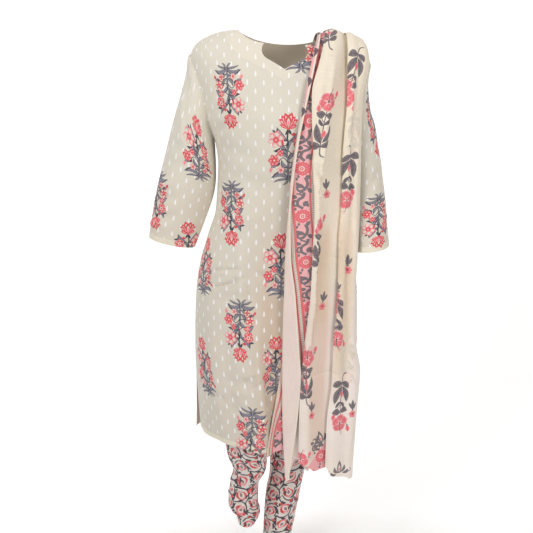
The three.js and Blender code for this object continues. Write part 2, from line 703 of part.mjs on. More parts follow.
const panels = kurtiPanels();
addPiece('kurti_front', lean(panels.front), kurtiColor, 0.85);
addPiece('kurti_back', lean(panels.back), kurtiColor, 0.85);
addPiece('kurti_neck_facing', lean(panels.facing), facingColor, 0.85);
addPiece('sleeve_right', lean(sheetSolid(sleeveGrid(-1, rightSleeve), wall, true)), kurtiColor, 0.85);
addPiece('sleeve_left', lean(sheetSolid(sleeveGrid(1, leftSleeve), wall, true)), kurtiColor, 0.85);
addPiece('waistband', sheetSolid(waistbandGrid(), waist.thick, true), trouserColor, 0.85);
for (const [name, rows, side] of [['right', rightLeg, -1], ['left', leftLeg, 1]]) {
  addPiece(`trouser_${name}_front`, sheetSolid(legPanel(rows, side, -1), wall), trouserColor, 0.85);
  addPiece(`trouser_${name}_back`, sheetSolid(legPanel(rows, side, 1), wall), trouserColor, 0.85);
}
addPiece('stole_front', lean(sheetSolid(hangingGrid(frontRows, -1, 0), sheerWall)), stoleColor, 0.8);
addPiece('stole_corner', sheetSolid(cornerGrid(), sheerWall), stoleColor, 0.8);
addPiece('stole_shoulder', lean(sheetSolid(overShoulderGrid(), sheerWall)), stoleColor, 0.8);
addPiece('stole_back', lean(sheetSolid(hangingGrid(backRows, 1, backHemRise), sheerWall)),
  stoleColor, 0.8);

export default suit;
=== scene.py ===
"""A kurti, trousers and stole as worn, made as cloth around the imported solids.

Lengths are millimetres in the row frame until a mesh is made, in metres.
"""
import math

import bpy
import numpy as np
from mathutils.geometry import delaunay_2d_cdt
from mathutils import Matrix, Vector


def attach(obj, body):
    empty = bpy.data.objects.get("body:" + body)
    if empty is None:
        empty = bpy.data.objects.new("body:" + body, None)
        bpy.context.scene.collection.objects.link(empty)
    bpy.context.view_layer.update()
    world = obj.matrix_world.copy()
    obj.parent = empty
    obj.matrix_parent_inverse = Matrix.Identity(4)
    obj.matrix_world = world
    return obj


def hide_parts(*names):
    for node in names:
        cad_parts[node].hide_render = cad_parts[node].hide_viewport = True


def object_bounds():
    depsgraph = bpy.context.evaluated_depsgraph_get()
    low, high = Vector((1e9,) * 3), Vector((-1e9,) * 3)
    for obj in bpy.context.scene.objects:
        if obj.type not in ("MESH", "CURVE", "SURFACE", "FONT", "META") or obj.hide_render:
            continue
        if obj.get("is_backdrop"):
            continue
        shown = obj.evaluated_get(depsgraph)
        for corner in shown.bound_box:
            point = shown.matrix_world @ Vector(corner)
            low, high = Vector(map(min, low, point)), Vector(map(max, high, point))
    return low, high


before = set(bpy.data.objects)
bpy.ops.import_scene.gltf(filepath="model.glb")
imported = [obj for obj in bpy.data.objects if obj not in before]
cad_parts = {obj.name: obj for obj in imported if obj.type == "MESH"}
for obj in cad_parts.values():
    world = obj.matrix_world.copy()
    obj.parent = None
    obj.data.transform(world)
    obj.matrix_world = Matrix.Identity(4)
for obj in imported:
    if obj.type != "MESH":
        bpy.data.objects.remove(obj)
cad_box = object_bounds()

FULLNESS = 2.3                # exponent of the body's sections
SLIT_TOP = -770.0
TUBE_END = -1090.0
SHOULDER_PART = -160.0        # above this height the cloth is measured up to the shoulder seam
ARMHOLE = {"y": 1.5, "z": -160.5, "across": 56.5, "down": 101.5}
SIDE_NECK = 108.0
BROADEST = -62.0              # height where the shoulders are widest
FRONT_SLIT, BACK_SLIT = 42, 26      # how far from the middle plane the slits' edges lie at the hem
HEM_POINTS = 78               # along the kurti's hem, between its corners
HEM_TURN = 13                 # height of its turned hem
THICK = {"cotton": 0.9, "facing": 0.5, "waistband": 1.2, "voile": 0.45}


# ---------- reading tables ----------
def curve_through(x, y):
    """A smooth curve through the points that never overshoots them."""
    x = np.asarray(x, float)
    y = np.asarray(y, float)
    if x[0] > x[-1]:
        x, y = x[::-1], y[::-1]
    run = np.diff(x)
    rise = np.diff(y) / run
    slope = np.concatenate([rise[:1], np.zeros(len(x) - 2), rise[-1:]])
    for i in range(1, len(x) - 1):
        if rise[i - 1] * rise[i] > 0:
            before = 2 * run[i] + run[i - 1]
            after = run[i] + 2 * run[i - 1]
            slope[i] = (before + after) / (before / rise[i - 1] + after / rise[i])

    def at(value):
        value = np.clip(value, x[0], x[-1])
        i = np.clip(np.searchsorted(x, value, side="right") - 1, 0, len(run) - 1)
        t = (value - x[i]) / run[i]
        return ((1 + 2 * t) * (1 - t) ** 2 * y[i] + t * (1 - t) ** 2 * run[i] * slope[i]
                + t * t * (3 - 2 * t) * y[i + 1] + t * t * (t - 1) * run[i] * slope[i + 1])

    return at


def columns(names, rows):
    """A curve over the first column for each of the others."""
    data = np.array(rows, float)
    return {n: curve_through(data[:, 0], data[:, k]) for k, n in enumerate(names.split()) if k}


def arc_length(points):
    steps = np.linalg.norm(np.diff(points, axis=0), axis=1)
    return np.concatenate([[0], np.cumsum(steps)])


class Surface:
    """Cloth as rows of points: a place is a row's value and a distance along that row."""

    def __init__(self, rows, along, points):
        order = np.argsort(rows)
        self.rows = np.asarray(rows, float)[order]
        self.along = np.asarray(along, float)[order]
        self.points = np.asarray(points, float)[order]

    def on_row(self, k, along):
        return np.stack([np.interp(along, self.along[k], self.points[k][:, c]) for c in range(3)], 1)

    def at(self, row, along):
        row = np.clip(row, self.rows[0], self.rows[-1])
        low = np.clip(np.searchsorted(self.rows, row, side="right") - 1, 0, len(self.rows) - 2)
        share = (row - self.rows[low]) / (self.rows[low + 1] - self.rows[low])
        out = np.empty((len(row), 3))
        for k in np.unique(low):
            here = low == k
            near = self.on_row(k, along[here])
            out[here] = near + (self.on_row(k + 1, along[here]) - near) * share[here, None]
        return out


# ---------- the body of the kurti ----------
BODY = columns("z middle half front back", [
    (12, 0, 96, 50, 42), (0, 0, 108, 56, 46), (-4, -1, 138, 62, 52), (-20, -3, 181, 76, 62),
    (-38, -5, 204, 88, 70), (-62, -8, 214, 100, 80), (-110, -8, 206, 116, 92), (-160, -7, 193, 126, 98),
    (-210, -7, 178, 134, 100), (-262, -7, 159, 134, 98), (-310, -7, 153, 130, 90), (-368, -7, 156, 124, 80),
    (-432, -8, 161, 122, 78), (-474, -10, 173, 122, 86), (-510, -11, 184, 124, 96),
    (-560, -13, 197, 127, 106), (-630, -15, 207, 131, 115), (-770, -16, 213, 133, 115),
    (-850, -16, 214, 134, 113), (-930, -15, 214, 134, 112), (-1000, -15, 213, 134, 112),
    (TUBE_END, -15, 213, 134, 112),
])
KNEE = columns("z out", [(-640, 0), (-740, 16), (-850, 38), (-950, 54), (-1020, 56), (TUBE_END, 56)])
KNEE_ACROSS = columns("x share", [
    (-235, 0.1), (-190, 0.45), (-140, 0.85), (-100, 1), (-62, 1.04), (-44, 0.93), (-15, 0.3), (42, 0),
])
FRONT_HEM = columns("x z", [
    (-260, -1004), (-212, -1008), (-192, -1004), (-160, -998), (-110, -998), (-54, -1008), (20, -1012),
    (260, -1018),
])
BACK_HEM = columns("x z", [(-260, -1046), (0, -1045), (260, -1046)])


def bow(v):
    return np.sign(v) * np.abs(v) ** (2 / FULLNESS)


def knee_out(x, z):
    return KNEE["out"](z) * KNEE_ACROSS["share"](x)


def body_ring(z, face):
    """A section over the front (1) or back (-1), from the right arm's side to the left's."""
    angle = np.linspace(math.pi, 0, 181)
    across, out = np.cos(angle), np.sin(angle)
    low = min(1.0, max(0.0, (SLIT_TOP - z) / (SLIT_TOP - TUBE_END)))
    spread = (-8 if face > 0 else 15) * low * np.minimum(1, 5 * out)
    x = BODY["middle"](z) + (BODY["half"](z) + spread) * bow(across)
    y = -face * BODY["front" if face > 0 else "back"](z) * bow(out)
    if face > 0:
        y = y - knee_out(x, z) * np.minimum(1, 2.2 * out)
    return np.stack([x, y, np.full_like(x, z)], 1)


def side_x(side, depth, z, face):
    share = np.minimum(1, depth / BODY["front" if face > 0 else "back"](z))
    return BODY["middle"](z) + side * BODY["half"](z) * (1 - share ** FULLNESS) ** (1 / FULLNESS)


class BodyFace:
    """Cloth coordinates on the front or back: u across from the middle, v up."""

    broad = 185.0             # past this distance from the middle the shoulder's columns start higher
    side_stretch = 1.3

    def __init__(self, face):
        self.face = face
        self.depth = "front" if face > 0 else "back"
        self.z = np.arange(-1096.0, SHOULDER_PART + 1, 8.0)
        self.rings = np.array([body_ring(z, face) for z in self.z])
        self.across = np.array([arc_length(r) - np.interp(0, r[:, 0], arc_length(r)) for r in self.rings])
        self.low = Surface(self.z, self.across, self.rings)
        self.make_shoulder()

    def make_shoulder(self):
        crest = np.arange(BROADEST, 12.1)
        right = BODY["middle"](crest) + BODY["half"](crest)
        left = BODY["half"](crest) - BODY["middle"](crest)
        x = np.linspace(0.3 - left[0], right[0] - 0.3, 147)
        top = np.where(x > 0, np.interp(x, right[::-1], crest[::-1]), np.interp(-x, left[::-1], crest[::-1]))
        middle = float(BODY["middle"](SHOULDER_PART))
        off = np.abs(x - middle)
        past = np.clip((off - self.broad) / (float(BODY["half"](BROADEST)) - self.broad), 0, 1)
        foot = SHOULDER_PART + (BROADEST - SHOULDER_PART) * past
        share = 1 - (1 - np.linspace(0, 1, 50)) ** 2
        paths = []
        for column in range(len(x)):
            z = foot[column] + (top[column] - foot[column]) * share
            inside = np.minimum(1, np.abs(x[column] - BODY["middle"](z)) / BODY["half"](z))
            y = -self.face * BODY[self.depth](z) * (1 - inside ** FULLNESS) ** (1 / FULLNESS)
            paths.append(np.stack([np.full_like(z, x[column]), y, z], 1))
        run = np.array([arc_length(p) for p in paths])
        length = run[:, -1]
        self.x = x
        self.top_v = SHOULDER_PART + length
        for side in (x < middle, x > middle):
            near = side & (off <= self.broad) & (off > self.broad - 20)
            slope, start = np.polyfit(off[near], self.top_v[near], 1)
            far = side & (off > self.broad)
            self.top_v[far] = start + slope * off[far]
        self.foot_v = self.top_v - length
        self.paths = np.array(paths)
        self.inner = run / length[:, None]
        self.high = Surface(x, self.inner, self.paths)
        ring_x, ring_u = self.rings[-1][:, 0], self.across[-1]
        kept = np.clip(x, middle - self.broad, middle + self.broad)
        self.u_x = np.interp(kept, ring_x, ring_u) + (x - kept) * self.side_stretch

    def place(self, uv):
        u, v = uv[:, 0], uv[:, 1]
        out = self.low.at(v, u)
        up = v > SHOULDER_PART
        if up.any():
            x = np.interp(u[up], self.u_x, self.x)
            top = np.interp(x, self.x, self.top_v)
            foot = np.interp(x, self.x, self.foot_v)
            out[up] = self.high.at(x, np.clip((v[up] - foot) / (top - foot), 0, 1))
        return out

    def blend_row(self, z):
        k = int(np.clip((z - self.z[0]) // 8, 0, len(self.z) - 2))
        return k, (z - self.z[k]) / 8

    def locate(self, x, z):
        """Cloth coordinates of the place at x and z."""
        if z <= SHOULDER_PART:
            k, share = self.blend_row(z)
            near, far = (np.interp(x, self.rings[j][:, 0], self.across[j]) for j in (k, k + 1))
            return near + (far - near) * share, z
        k = int(np.clip(np.searchsorted(self.x, x) - 1, 0, len(self.x) - 2))
        share = np.clip((x - self.x[k]) / (self.x[k + 1] - self.x[k]), 0, 1)
        near, far = (np.interp(z, self.paths[j][:, 2], self.inner[j]) for j in (k, k + 1))
        inner = near + (far - near) * share
        foot, top = np.interp(x, self.x, self.foot_v), np.interp(x, self.x, self.top_v)
        return np.interp(x, self.x, self.u_x), foot + inner * (top - foot)

    def edge(self, z, side, depth):
        """u near a side where the cloth lies this deep from the middle plane."""
        k, share = self.blend_row(z)
        found = []
        for j in (k, k + 1):
            part = slice(None, 70) if side < 0 else slice(None, -71, -1)
            found.append(np.interp(depth, np.abs(self.rings[j][part, 1]), self.across[j][part]))
        return found[0] + (found[1] - found[0]) * share

    def side_line(self, side, hem, slit):
        """The edge from the hem up the slit and side seam and round the armhole."""
        line = []
        foot = float(hem(side_x(side, 20, -1000.0, self.face)))
        for z in np.arange(foot, SLIT_TOP, 7):
            line.append((self.edge(z, side, slit * min(1.0, (SLIT_TOP - z) / 260) ** 0.5), z))
        armpit = ARMHOLE["z"] - ARMHOLE["down"]
        for z in np.arange(SLIT_TOP, armpit - 3, 7):
            line.append((self.edge(z, side, 0.0), z))
        for turn in np.radians(np.linspace(-90, 88, 64)):
            z = ARMHOLE["z"] + ARMHOLE["down"] * math.sin(turn)
            depth = max(0.1, ARMHOLE["across"] * math.cos(turn) - self.face * ARMHOLE["y"])
            if z <= SHOULDER_PART:
                line.append((self.edge(z, side, depth), z))
            else:
                line.append(self.locate(float(side_x(side, depth, z, self.face)), z))
        return line

    def outline(self, hem, slit, neck):
        right, left = (self.side_line(side, hem, slit) for side in (1, -1))
        bottom = []
        for u in np.linspace(left[0][0], right[0][0], HEM_POINTS + 2)[1:-1]:
            z = -1005.0
            for _ in range(3):
                z = float(hem(self.low.at(np.array([z]), np.array([u]))[0, 0]))
            bottom.append((u, z))
        seams = []
        for side, start in ((1, right[-1][0]), (-1, left[-1][0])):
            end = np.interp(side * SIDE_NECK, self.x, self.u_x)
            seams.append([(u, np.interp(u, self.u_x, self.top_v)) for u in np.linspace(start, end, 18)[1:-1]])
        line = bottom + right + seams[0] + [self.locate(x, z) for x, z in neck] + seams[1][::-1] + left[::-1]
        return np.array(line)


def bend(start, handle, end, count):
    t = np.linspace(0, 1, count)[:, None]
    a, b, c = (np.array(p, float) for p in (start, handle, end))
    return (1 - t) ** 2 * a + 2 * t * (1 - t) * b + t * t * c


def front_neck():
    tip = (45.7, -31)
    turn = np.radians(np.linspace(40.8, -60, 12))
    lobe = np.stack([29.5 + 22 * np.cos(turn), -45 + 22 * np.sin(turn)], 1)
    point = bend(lobe[-1], (20, -74), (0, -86), 8)
    half = np.vstack([bend((SIDE_NECK, 0), (86, -28), tip, 12), lobe[1:], point[1:]])
    return np.vstack([half, (half[:-1] * (-1, 1))[::-1]])


def back_neck():
    half = bend((SIDE_NECK, 0), (70, -24), (0, -25), 16)
    return np.vstack([half, (half[:-1] * (-1, 1))[::-1]])


# ---------- filling an outline with triangles ----------
def inside(points, outline):
    """Which points lie in a closed outline."""
    x, y = points[:, 0], points[:, 1]
    hit = np.zeros(len(points), bool)
    for (x0, y0), (x1, y1) in zip(outline, np.roll(outline, -1, axis=0)):
        if y0 != y1:
            crossing = ((y0 > y) != (y1 > y)) & (x < (x1 - x0) * (y - y0) / (y1 - y0) + x0)
            hit ^= crossing
    return hit


def clear_of(points, line, gap):
    kept = np.ones(len(points), bool)
    for start in range(0, len(points), 4000):
        part = points[start:start + 4000]
        distance = np.min(np.abs(part[:, None, :] - line[None]).max(2), axis=1)
        kept[start:start + 4000] = distance > gap
    return kept


def cut_up(shape, step):
    """The same outline with points along its long edges."""
    after = np.roll(shape, -1, axis=0)
    found = []
    for start, end in zip(shape, after):
        count = max(1, int(np.linalg.norm(end - start) / step))
        found.append(start + (end - start) * np.arange(count)[:, None] / count)
    return np.vstack(found)


def fill(outline, prints, step, folds=(), ridges=()):
    """Triangles inside the outline whose edges follow every print and ridge, and the colour of each."""
    low, high = outline.min(0), outline.max(0)
    lines = np.arange(low[1], high[1] + step, step * 0.87)
    across = np.arange(low[0], high[0] + step, step)
    grid = np.vstack([np.stack([across + (k % 2) * step / 2, np.full_like(across, v)], 1)
                      for k, v in enumerate(lines)])
    grid = grid[inside(grid, outline)]
    grid = grid[clear_of(grid, outline, step * 0.45)]
    extra = fold_points([f for f in folds if f[4] < 6.5], step)
    if len(extra):
        extra = extra[inside(extra, outline)]
        extra = extra[clear_of(extra, outline, step * 0.45)]
    edges = []
    for ridge in ridges:
        ridge = ridge[inside(ridge, outline)]
        ridge = ridge[clear_of(ridge, outline, 2.0)]
        grid = grid[clear_of(grid, ridge, step * 0.5)]
        edges.append(ridge)
    loose = np.vstack([*edges, grid, extra])
    starts = np.cumsum([0] + [len(ridge) for ridge in edges])
    edges = [(k, k + 1) for a, b in zip(starts, starts[1:]) for k in range(a, b - 1)]
    points = [loose, outline] + [cut_up(shape, step) for _, shape in prints]
    for k in range(1, len(points)):
        x, y = points[k].T
        if np.sum(x * np.roll(y, -1) - y * np.roll(x, -1)) < 0:
            points[k] = points[k][::-1]
    starts = np.cumsum([0] + [len(p) for p in points])
    loops = [list(range(starts[k], starts[k + 1])) for k in range(1, len(points))]
    found = delaunay_2d_cdt([tuple(p) for p in np.vstack(points)], edges, loops, 1, 1e-4, True)
    uv = np.array([tuple(v) for v in found[0]])
    triangles, held = [], [[] for _ in range(len(prints) + 1)]
    for face, origin in zip(found[2], found[5]):
        if 0 in origin:
            for k in origin:
                held[k].append(len(triangles))
            triangles.append(face)
    triangles = np.array(triangles)
    middles = uv[triangles].mean(1)
    colours = np.zeros(len(triangles), int)
    for (colour, shape), own in zip(prints, held[1:]):
        own = np.array(own, int)
        colours[own[inside(middles[own], shape)]] = colour
    return uv, triangles, colours


# ---------- folds ----------
def fold_points(folds, step):
    """Places along narrow folds, so that the net is fine enough to show them."""
    found = [np.empty((0, 2))]
    for u0, v0, u1, v1, width, _, swing in folds:
        start, end = np.array([u0, v0]), np.array([u1, v1])
        length = np.linalg.norm(end - start)
        t = np.linspace(0, 1, max(3, int(length / step)))[:, None]
        side = np.array([v0 - v1, u1 - u0]) / length
        line = start + (end - start) * t + side * swing * 4 * t * (1 - t)
        found += [line + side * width * share for share in (-1.3, -0.6, 0, 0.6, 1.3)]
    return np.vstack(found)


def fold_height(uv, folds):
    """Sum of soft troughs (negative) and ridges, each fading out at its ends."""
    height = np.zeros(len(uv))
    for u0, v0, u1, v1, width, rise, swing in folds:
        start = np.array([u0, v0])
        run = np.array([u1 - u0, v1 - v0])
        length = np.linalg.norm(run)
        side = np.array([-run[1], run[0]]) / length
        t = (uv - start) @ run / length ** 2
        near = (t > 0) & (t < 1)
        away = (uv[near] - start) @ side - swing * 4 * t[near] * (1 - t[near])
        fade = np.sin(math.pi * t[near]) ** 0.7
        height[near] += rise * fade * np.exp(-(away / width) ** 2)
    return height


# ---------- meshes ----------
def point_normals(points, triangles):
    a, b, c = (points[triangles[:, k]] for k in range(3))
    face = np.cross(b - a, c - a)
    total = np.zeros_like(points)
    for k in range(3):
        np.add.at(total, triangles[:, k], face)
    return total / np.maximum(np.linalg.norm(total, axis=1), 1e-9)[:, None]


def lean(points):
    """The upper garment hangs a little lower on the left shoulder."""
    fade = np.clip((points[:, 2] + 320) / 260, 0, 1)
    points[:, 2] -= 0.045 * (points[:, 0] + SIDE_NECK) * fade * fade * (3 - 2 * fade)
    return points


def add_object(name, data):
    found = bpy.data.objects.new(name, data)
    bpy.context.scene.collection.objects.link(found)
    return found


def make_cloth(name, net, place, materials, backs, thickness, folds=(), leans=True, flip=False):
    """A thin closed shell: the net laid on its surface, its folds, and its reverse."""
    uv, triangles, colours = net
    points = place(uv)
    keys, shared = np.unique(np.round(points, 2), axis=0, return_inverse=True)
    shared = shared.reshape(-1)
    points = np.zeros((len(keys), 3))
    points[shared] = place(uv)
    corners = triangles
    triangles = shared[triangles]
    good = (triangles[:, 0] != triangles[:, 1]) & (triangles[:, 1] != triangles[:, 2]) & (
        triangles[:, 2] != triangles[:, 0])
    triangles, corners, colours = triangles[good], corners[good], colours[good]
    if flip:
        triangles, corners = triangles[:, ::-1], corners[:, ::-1]
    height = np.zeros(len(points))
    height[shared] = fold_height(uv, folds)
    points += point_normals(points, triangles) * height[:, None]
    if leans:
        points = lean(points)
    inner = points - point_normals(points, triangles) * thickness
    count = len(points)
    edges = np.vstack([triangles[:, [0, 1]], triangles[:, [1, 2]], triangles[:, [2, 0]]])
    owner = np.tile(np.arange(len(triangles)), 3)
    key = np.sort(edges, axis=1)
    _, first, times = np.unique(key, axis=0, return_index=True, return_counts=True)
    rim = first[times == 1]
    a, b = edges[rim, 0], edges[rim, 1]
    rims = np.vstack([np.stack([b, a, a + count], 1), np.stack([b, a + count, b + count], 1)])
    faces = np.vstack([triangles, triangles[:, ::-1] + count, rims])
    slots = np.concatenate([colours, np.array(backs)[colours], colours[owner[rim]], colours[owner[rim]]])
    flat = np.vstack([uv[corners].reshape(-1, 2), uv[corners[:, ::-1]].reshape(-1, 2)])
    ends = np.stack([corners[owner[rim], 0]] * 3, 1)
    flat = np.vstack([flat, uv[ends].reshape(-1, 2), uv[ends].reshape(-1, 2)]) / 1000
    mesh = bpy.data.meshes.new(name)
    mesh.vertices.add(2 * count)
    mesh.vertices.foreach_set("co", (np.vstack([points, inner]) / 1000).ravel())
    mesh.loops.add(faces.size)
    mesh.loops.foreach_set("vertex_index", faces.astype(np.int32).ravel())
    mesh.polygons.add(len(faces))
    mesh.polygons.foreach_set("loop_start", np.arange(0, faces.size, 3, dtype=np.int32))
    mesh.update(calc_edges=True)
    mesh.polygons.foreach_set("material_index", slots.astype(np.int32))
    layer = mesh.uv_layers.new(name="UVMap")
    layer.data.foreach_set("uv", flat.ravel())
    mesh.validate()
    mesh.shade_smooth()
    mesh.set_sharp_from_angle(angle=math.radians(60))
    for material in materials:
        mesh.materials.append(material)
    return add_object(name + "_cloth", mesh)


# ---------- printed shapes ----------
# Each drawing is a list of (colour, outline) in millimetres about its own middle.
def leaf(base, tip, width, swing=0.0, widest=0.5, count=9):
    base, tip = np.array(base, float), np.array(tip, float)
    run = tip - base
    length = np.linalg.norm(run)
    side = np.array([-run[1], run[0]]) / length
    t = np.linspace(0, 1, count)
    middle = base + run * t[:, None] + side * (swing * length * 4 * t * (1 - t))[:, None]
    half = width / 2 * np.sin(math.pi * t ** (math.log(0.5) / math.log(widest))) ** 0.8
    edge = side * half[:, None]
    return np.vstack([middle + edge, (middle - edge)[-2:0:-1]])


def stroke(points, thick, thin, count=5):
    """A tapering line through the points."""
    points = np.array(points, float)
    run = arc_length(points)
    t = np.linspace(0, run[-1], count * (len(points) - 1) + 1)
    ends = np.vstack([2 * points[0] - points[1], points, 2 * points[-1] - points[-2]])
    k = np.clip(np.searchsorted(run, t, side="right") - 1, 0, len(points) - 2)
    s = ((t - run[k]) / (run[k + 1] - run[k]))[:, None]
    a, b, c, d = (ends[k + j] for j in range(4))
    line = 0.5 * (2 * b + (c - a) * s + (2 * a - 5 * b + 4 * c - d) * s ** 2
                  + (3 * b - a - 3 * c + d) * s ** 3)
    way = np.gradient(line, axis=0)
    way /= np.linalg.norm(way, axis=1)[:, None]
    half = np.linspace(thick, thin, len(line))[:, None] / 2
    side = np.stack([-way[:, 1], way[:, 0]], 1) * half
    return np.vstack([line + side, (line - side)[::-1]])


def oval(x, y, across, up, count=10):
    angle = np.linspace(0, 2 * math.pi, count, endpoint=False)
    return np.stack([x + across * np.cos(angle), y + up * np.sin(angle)], 1)


def box(left, low, right, high):
    return np.array([(left, low), (right, low), (right, high), (left, high)])


def leaves(colour, rows):
    """Plain small leaves from rows of base, tip, width and swing."""
    return [(colour, leaf(base, tip, width, swing, 0.5, 5)) for base, tip, width, swing in rows]


def polar(x, y, r, degrees):
    return x + r * math.cos(math.radians(degrees)), y + r * math.sin(math.radians(degrees))


def rosette(x, y, r, petals, rim, petal, heart, core, turn=0.0):
    """Ragged pointed petals round a ringed heart."""
    ragged = [(-0.5, 0.68), (-0.33, 0.92), (-0.15, 0.9), (0.02, 1.06), (0.17, 0.9), (0.34, 0.9)]
    edge = []
    for k in range(petals):
        reach = r * (1 + 0.08 * math.sin(5.3 * k + x))
        edge += [polar(x, y, reach * share, turn + 360 * (k + aside) / petals) for aside, share in ragged]
    shapes = [(rim, np.array(edge))]
    for k in range(petals):
        angle = turn + 360 * k / petals
        start, end = polar(x, y, r * 0.36, angle), polar(x, y, r * 0.86, angle + 4)
        shapes.append((petal, leaf(start, end, 3.0 * r / petals, 0.1, 0.62, 4)))
    return shapes + [(heart, oval(x, y, r * 0.36, r * 0.36, 8)), (core, oval(x, y, r * 0.18, r * 0.18, 6))]


def veined_leaf(base, tip, width, swing, rim, inner, rib=None):
    base, tip = np.array(base, float), np.array(tip, float)
    run = tip - base
    shapes = [(rim, leaf(base, tip, width, swing, 0.48, 6)),
              (inner, leaf(base + run * 0.08, base + run * 0.92, width * 0.74, swing, 0.52, 5))]
    if rib is not None:
        middle = base + run * 0.5 + np.array([-run[1], run[0]]) * swing * 0.98
        shapes.append((rib, stroke([base, middle, base + run * 0.84], 1.0, 0.5, 2)))
    return shapes


# tilt of each petal from upright and its reach as a share of the flower's size, back ones first
LOTUS_FAN = [
    (-62, 0.66), (62, 0.7), (-44, 0.98), (45, 1.0), (-28, 1.04), (29, 1.1), (-12, 1.22), (13, 1.18),
    (1, 0.98),
]


def lotus(x, y, size, rim, streak, pale):
    """Pointed petals fanning up from one place, the middle ones in front."""
    shapes = []
    for tilt, reach in LOTUS_FAN:
        way, swing, outer = 90 + tilt, -0.0045 * tilt, abs(tilt) > 50
        shapes.append((rim, leaf((x, y), polar(x, y, size * reach, way), size * 0.5, swing, 0.56, 6)))
        start, end = polar(x, y, size * 0.14, way), polar(x, y, size * reach * 0.84, way)
        shapes.append((streak if outer else pale, leaf(start, end, size * 0.22, swing, 0.58, 5)))
    for tilt, reach in ((-27, 0.7), (0, 0.66), (27, 0.7)):
        start, end = polar(x, y, size * 0.2, 90 + tilt), polar(x, y, size * reach, 90 + tilt)
        shapes.append((streak, leaf(start, end, size * 0.13, 0, 0.6, 4)))
    return shapes


INK, GREY, CORAL, PINK, PALE = 2, 3, 4, 5, 6


def spray():
    """The kurti's flower spray: a lotus over a leafy stem, flowers at both sides, leaves at the foot."""
    shapes = []
    stem = [(1, 40), (-2, 22), (1, 4), (-3, -14), (2, -34), (0, -52), (3, -72)]
    for base, tip, width, swing in [
        ((-1, 14), (-27, 46), 17, 0.16), ((1, 12), (30, 42), 15, -0.16), ((0, -10), (15, 20), 11, 0.2),
        ((-3, -18), (-22, 6), 11, -0.1), ((0, -26), (-24, -18), 9, -0.24), ((2, -30), (20, -14), 10, 0.2),
        ((2, -48), (-16, -28), 10, 0.2), ((2, -50), (14, -26), 9, -0.2), ((1, -58), (-13, -42), 9, 0.2),
        ((3, -60), (16, -44), 9, -0.2), ((3, -76), (-42, -72), 13, -0.28), ((3, -76), (-36, -82), 6, -0.1),
        ((3, -74), (-28, -58), 8, -0.12), ((4, -76), (42, -70), 12, 0.28), ((4, -76), (32, -83), 6, 0.12),
        ((4, -74), (27, -57), 8, 0.12), ((3, -72), (-12, -88), 6, 0.1), ((4, -72), (16, -88), 6, -0.1),
        ((28, 0), (40, -20), 11, -0.16), ((-26, -38), (-42, -46), 7, 0.1), ((26, -40), (41, -44), 8, -0.2),
    ]:
        shapes += veined_leaf(base, tip, width, swing, INK, GREY, INK if width > 12 else None)
    shapes += [(INK, stroke(stem, 3.8, 6.0, 2)), (GREY, stroke(stem[2:], 1.6, 3.6, 2))]
    shapes += [(INK, stroke(branch, 2.4, thin, 3)) for branch, thin in [
        ([(-3, -8), (-14, -4), (-22, -14), (-30, -18)], 1.6),
        ([(1, -36), (-10, -24), (-20, -30), (-19, -42)], 1.4), ([(0, 6), (-11, 4), (-18, 12)], 1.6),
        ([(-1, -6), (10, -14), (20, -8)], 1.4), ([(3, -34), (14, -36), (23, -30)], 1.4),
    ]]
    shapes += leaves(INK, [
        ((-18, 0), (-36, -8), 7, 0.2), ((-20, -34), (-30, -44), 6, 0.1), ((16, -40), (34, -50), 6, 0.2),
        ((-28, 34), (-38, 40), 5, 0.1), ((28, 30), (42, 26), 6, -0.2), ((-1, 42), (-7, 28), 6, 0.1),
        ((3, 42), (9, 29), 6, -0.1),
    ])
    for flower in [
        (-29, 17, 20, 6, PINK, PALE, CORAL, PINK, 14), (-19, -13, 9, 4, CORAL, PINK, CORAL, PALE, 30),
        (-33, -30, 14, 6, CORAL, PINK, CORAL, PALE, 0), (-17, -53, 9, 5, PINK, PALE, CORAL, PINK, 20),
        (25, 13, 15, 5, CORAL, PINK, PALE, CORAL, 15), (22, -10, 9, 4, CORAL, PINK, PALE, CORAL, 0),
        (29, -31, 13, 5, CORAL, PALE, CORAL, PINK, 12), (20, -52, 9, 4, CORAL, PALE, CORAL, PINK, 40),
    ]:
        shapes += rosette(*flower)
    shapes += leaves(PINK, [((-36, -46), (-42, -60), 8, -0.2)])
    shapes += leaves(CORAL, [((8, 28), (20, 30), 8, 0.1), ((36, -46), (44, -57), 7, 0.1),
                             ((-10, 4), (-14, 18), 6, 0.1)])
    return shapes + lotus(1, 40, 34, CORAL, PINK, PALE)


LEAF, VEIN = 2, 3


def hibiscus(x, y, r, turn):
    """Five round petals with veins and a long stamen."""
    def petal(colour, low, high, angle, width, widest, count):
        return colour, leaf(polar(x, y, r * low, angle), polar(x, y, r * high, angle), width, 0, widest,
                            count)

    angles = [turn + 72 * k for k in range(5)]
    shapes = [petal(PINK, 0.05, 1.04, angle, r, 0.66, 7) for angle in angles]
    for angle in angles:
        shapes.append(petal(CORAL, 0.16, 0.9, angle, r * 0.78, 0.66, 7))
        for aside in (-17, 0, 17):
            start, end = polar(x, y, r * 0.3, angle + aside), polar(x, y, r * 0.76, angle + aside * 1.1)
            shapes.append((PINK, leaf(start, end, 1.4, 0, 0.5, 3)))
    tip = polar(x, y, r * 1.32, turn + 20)
    bent = polar(x, y, r * 0.7, turn + 32)
    shapes += [(VEIN, stroke([(x, y), bent, tip], 1.6, 1.0)), (VEIN, oval(x, y, 2.2, 2.2, 7))]
    return shapes + [(CORAL, oval(*polar(*tip, 3.2, 60 * k), 0.9, 0.9, 5)) for k in range(6)]


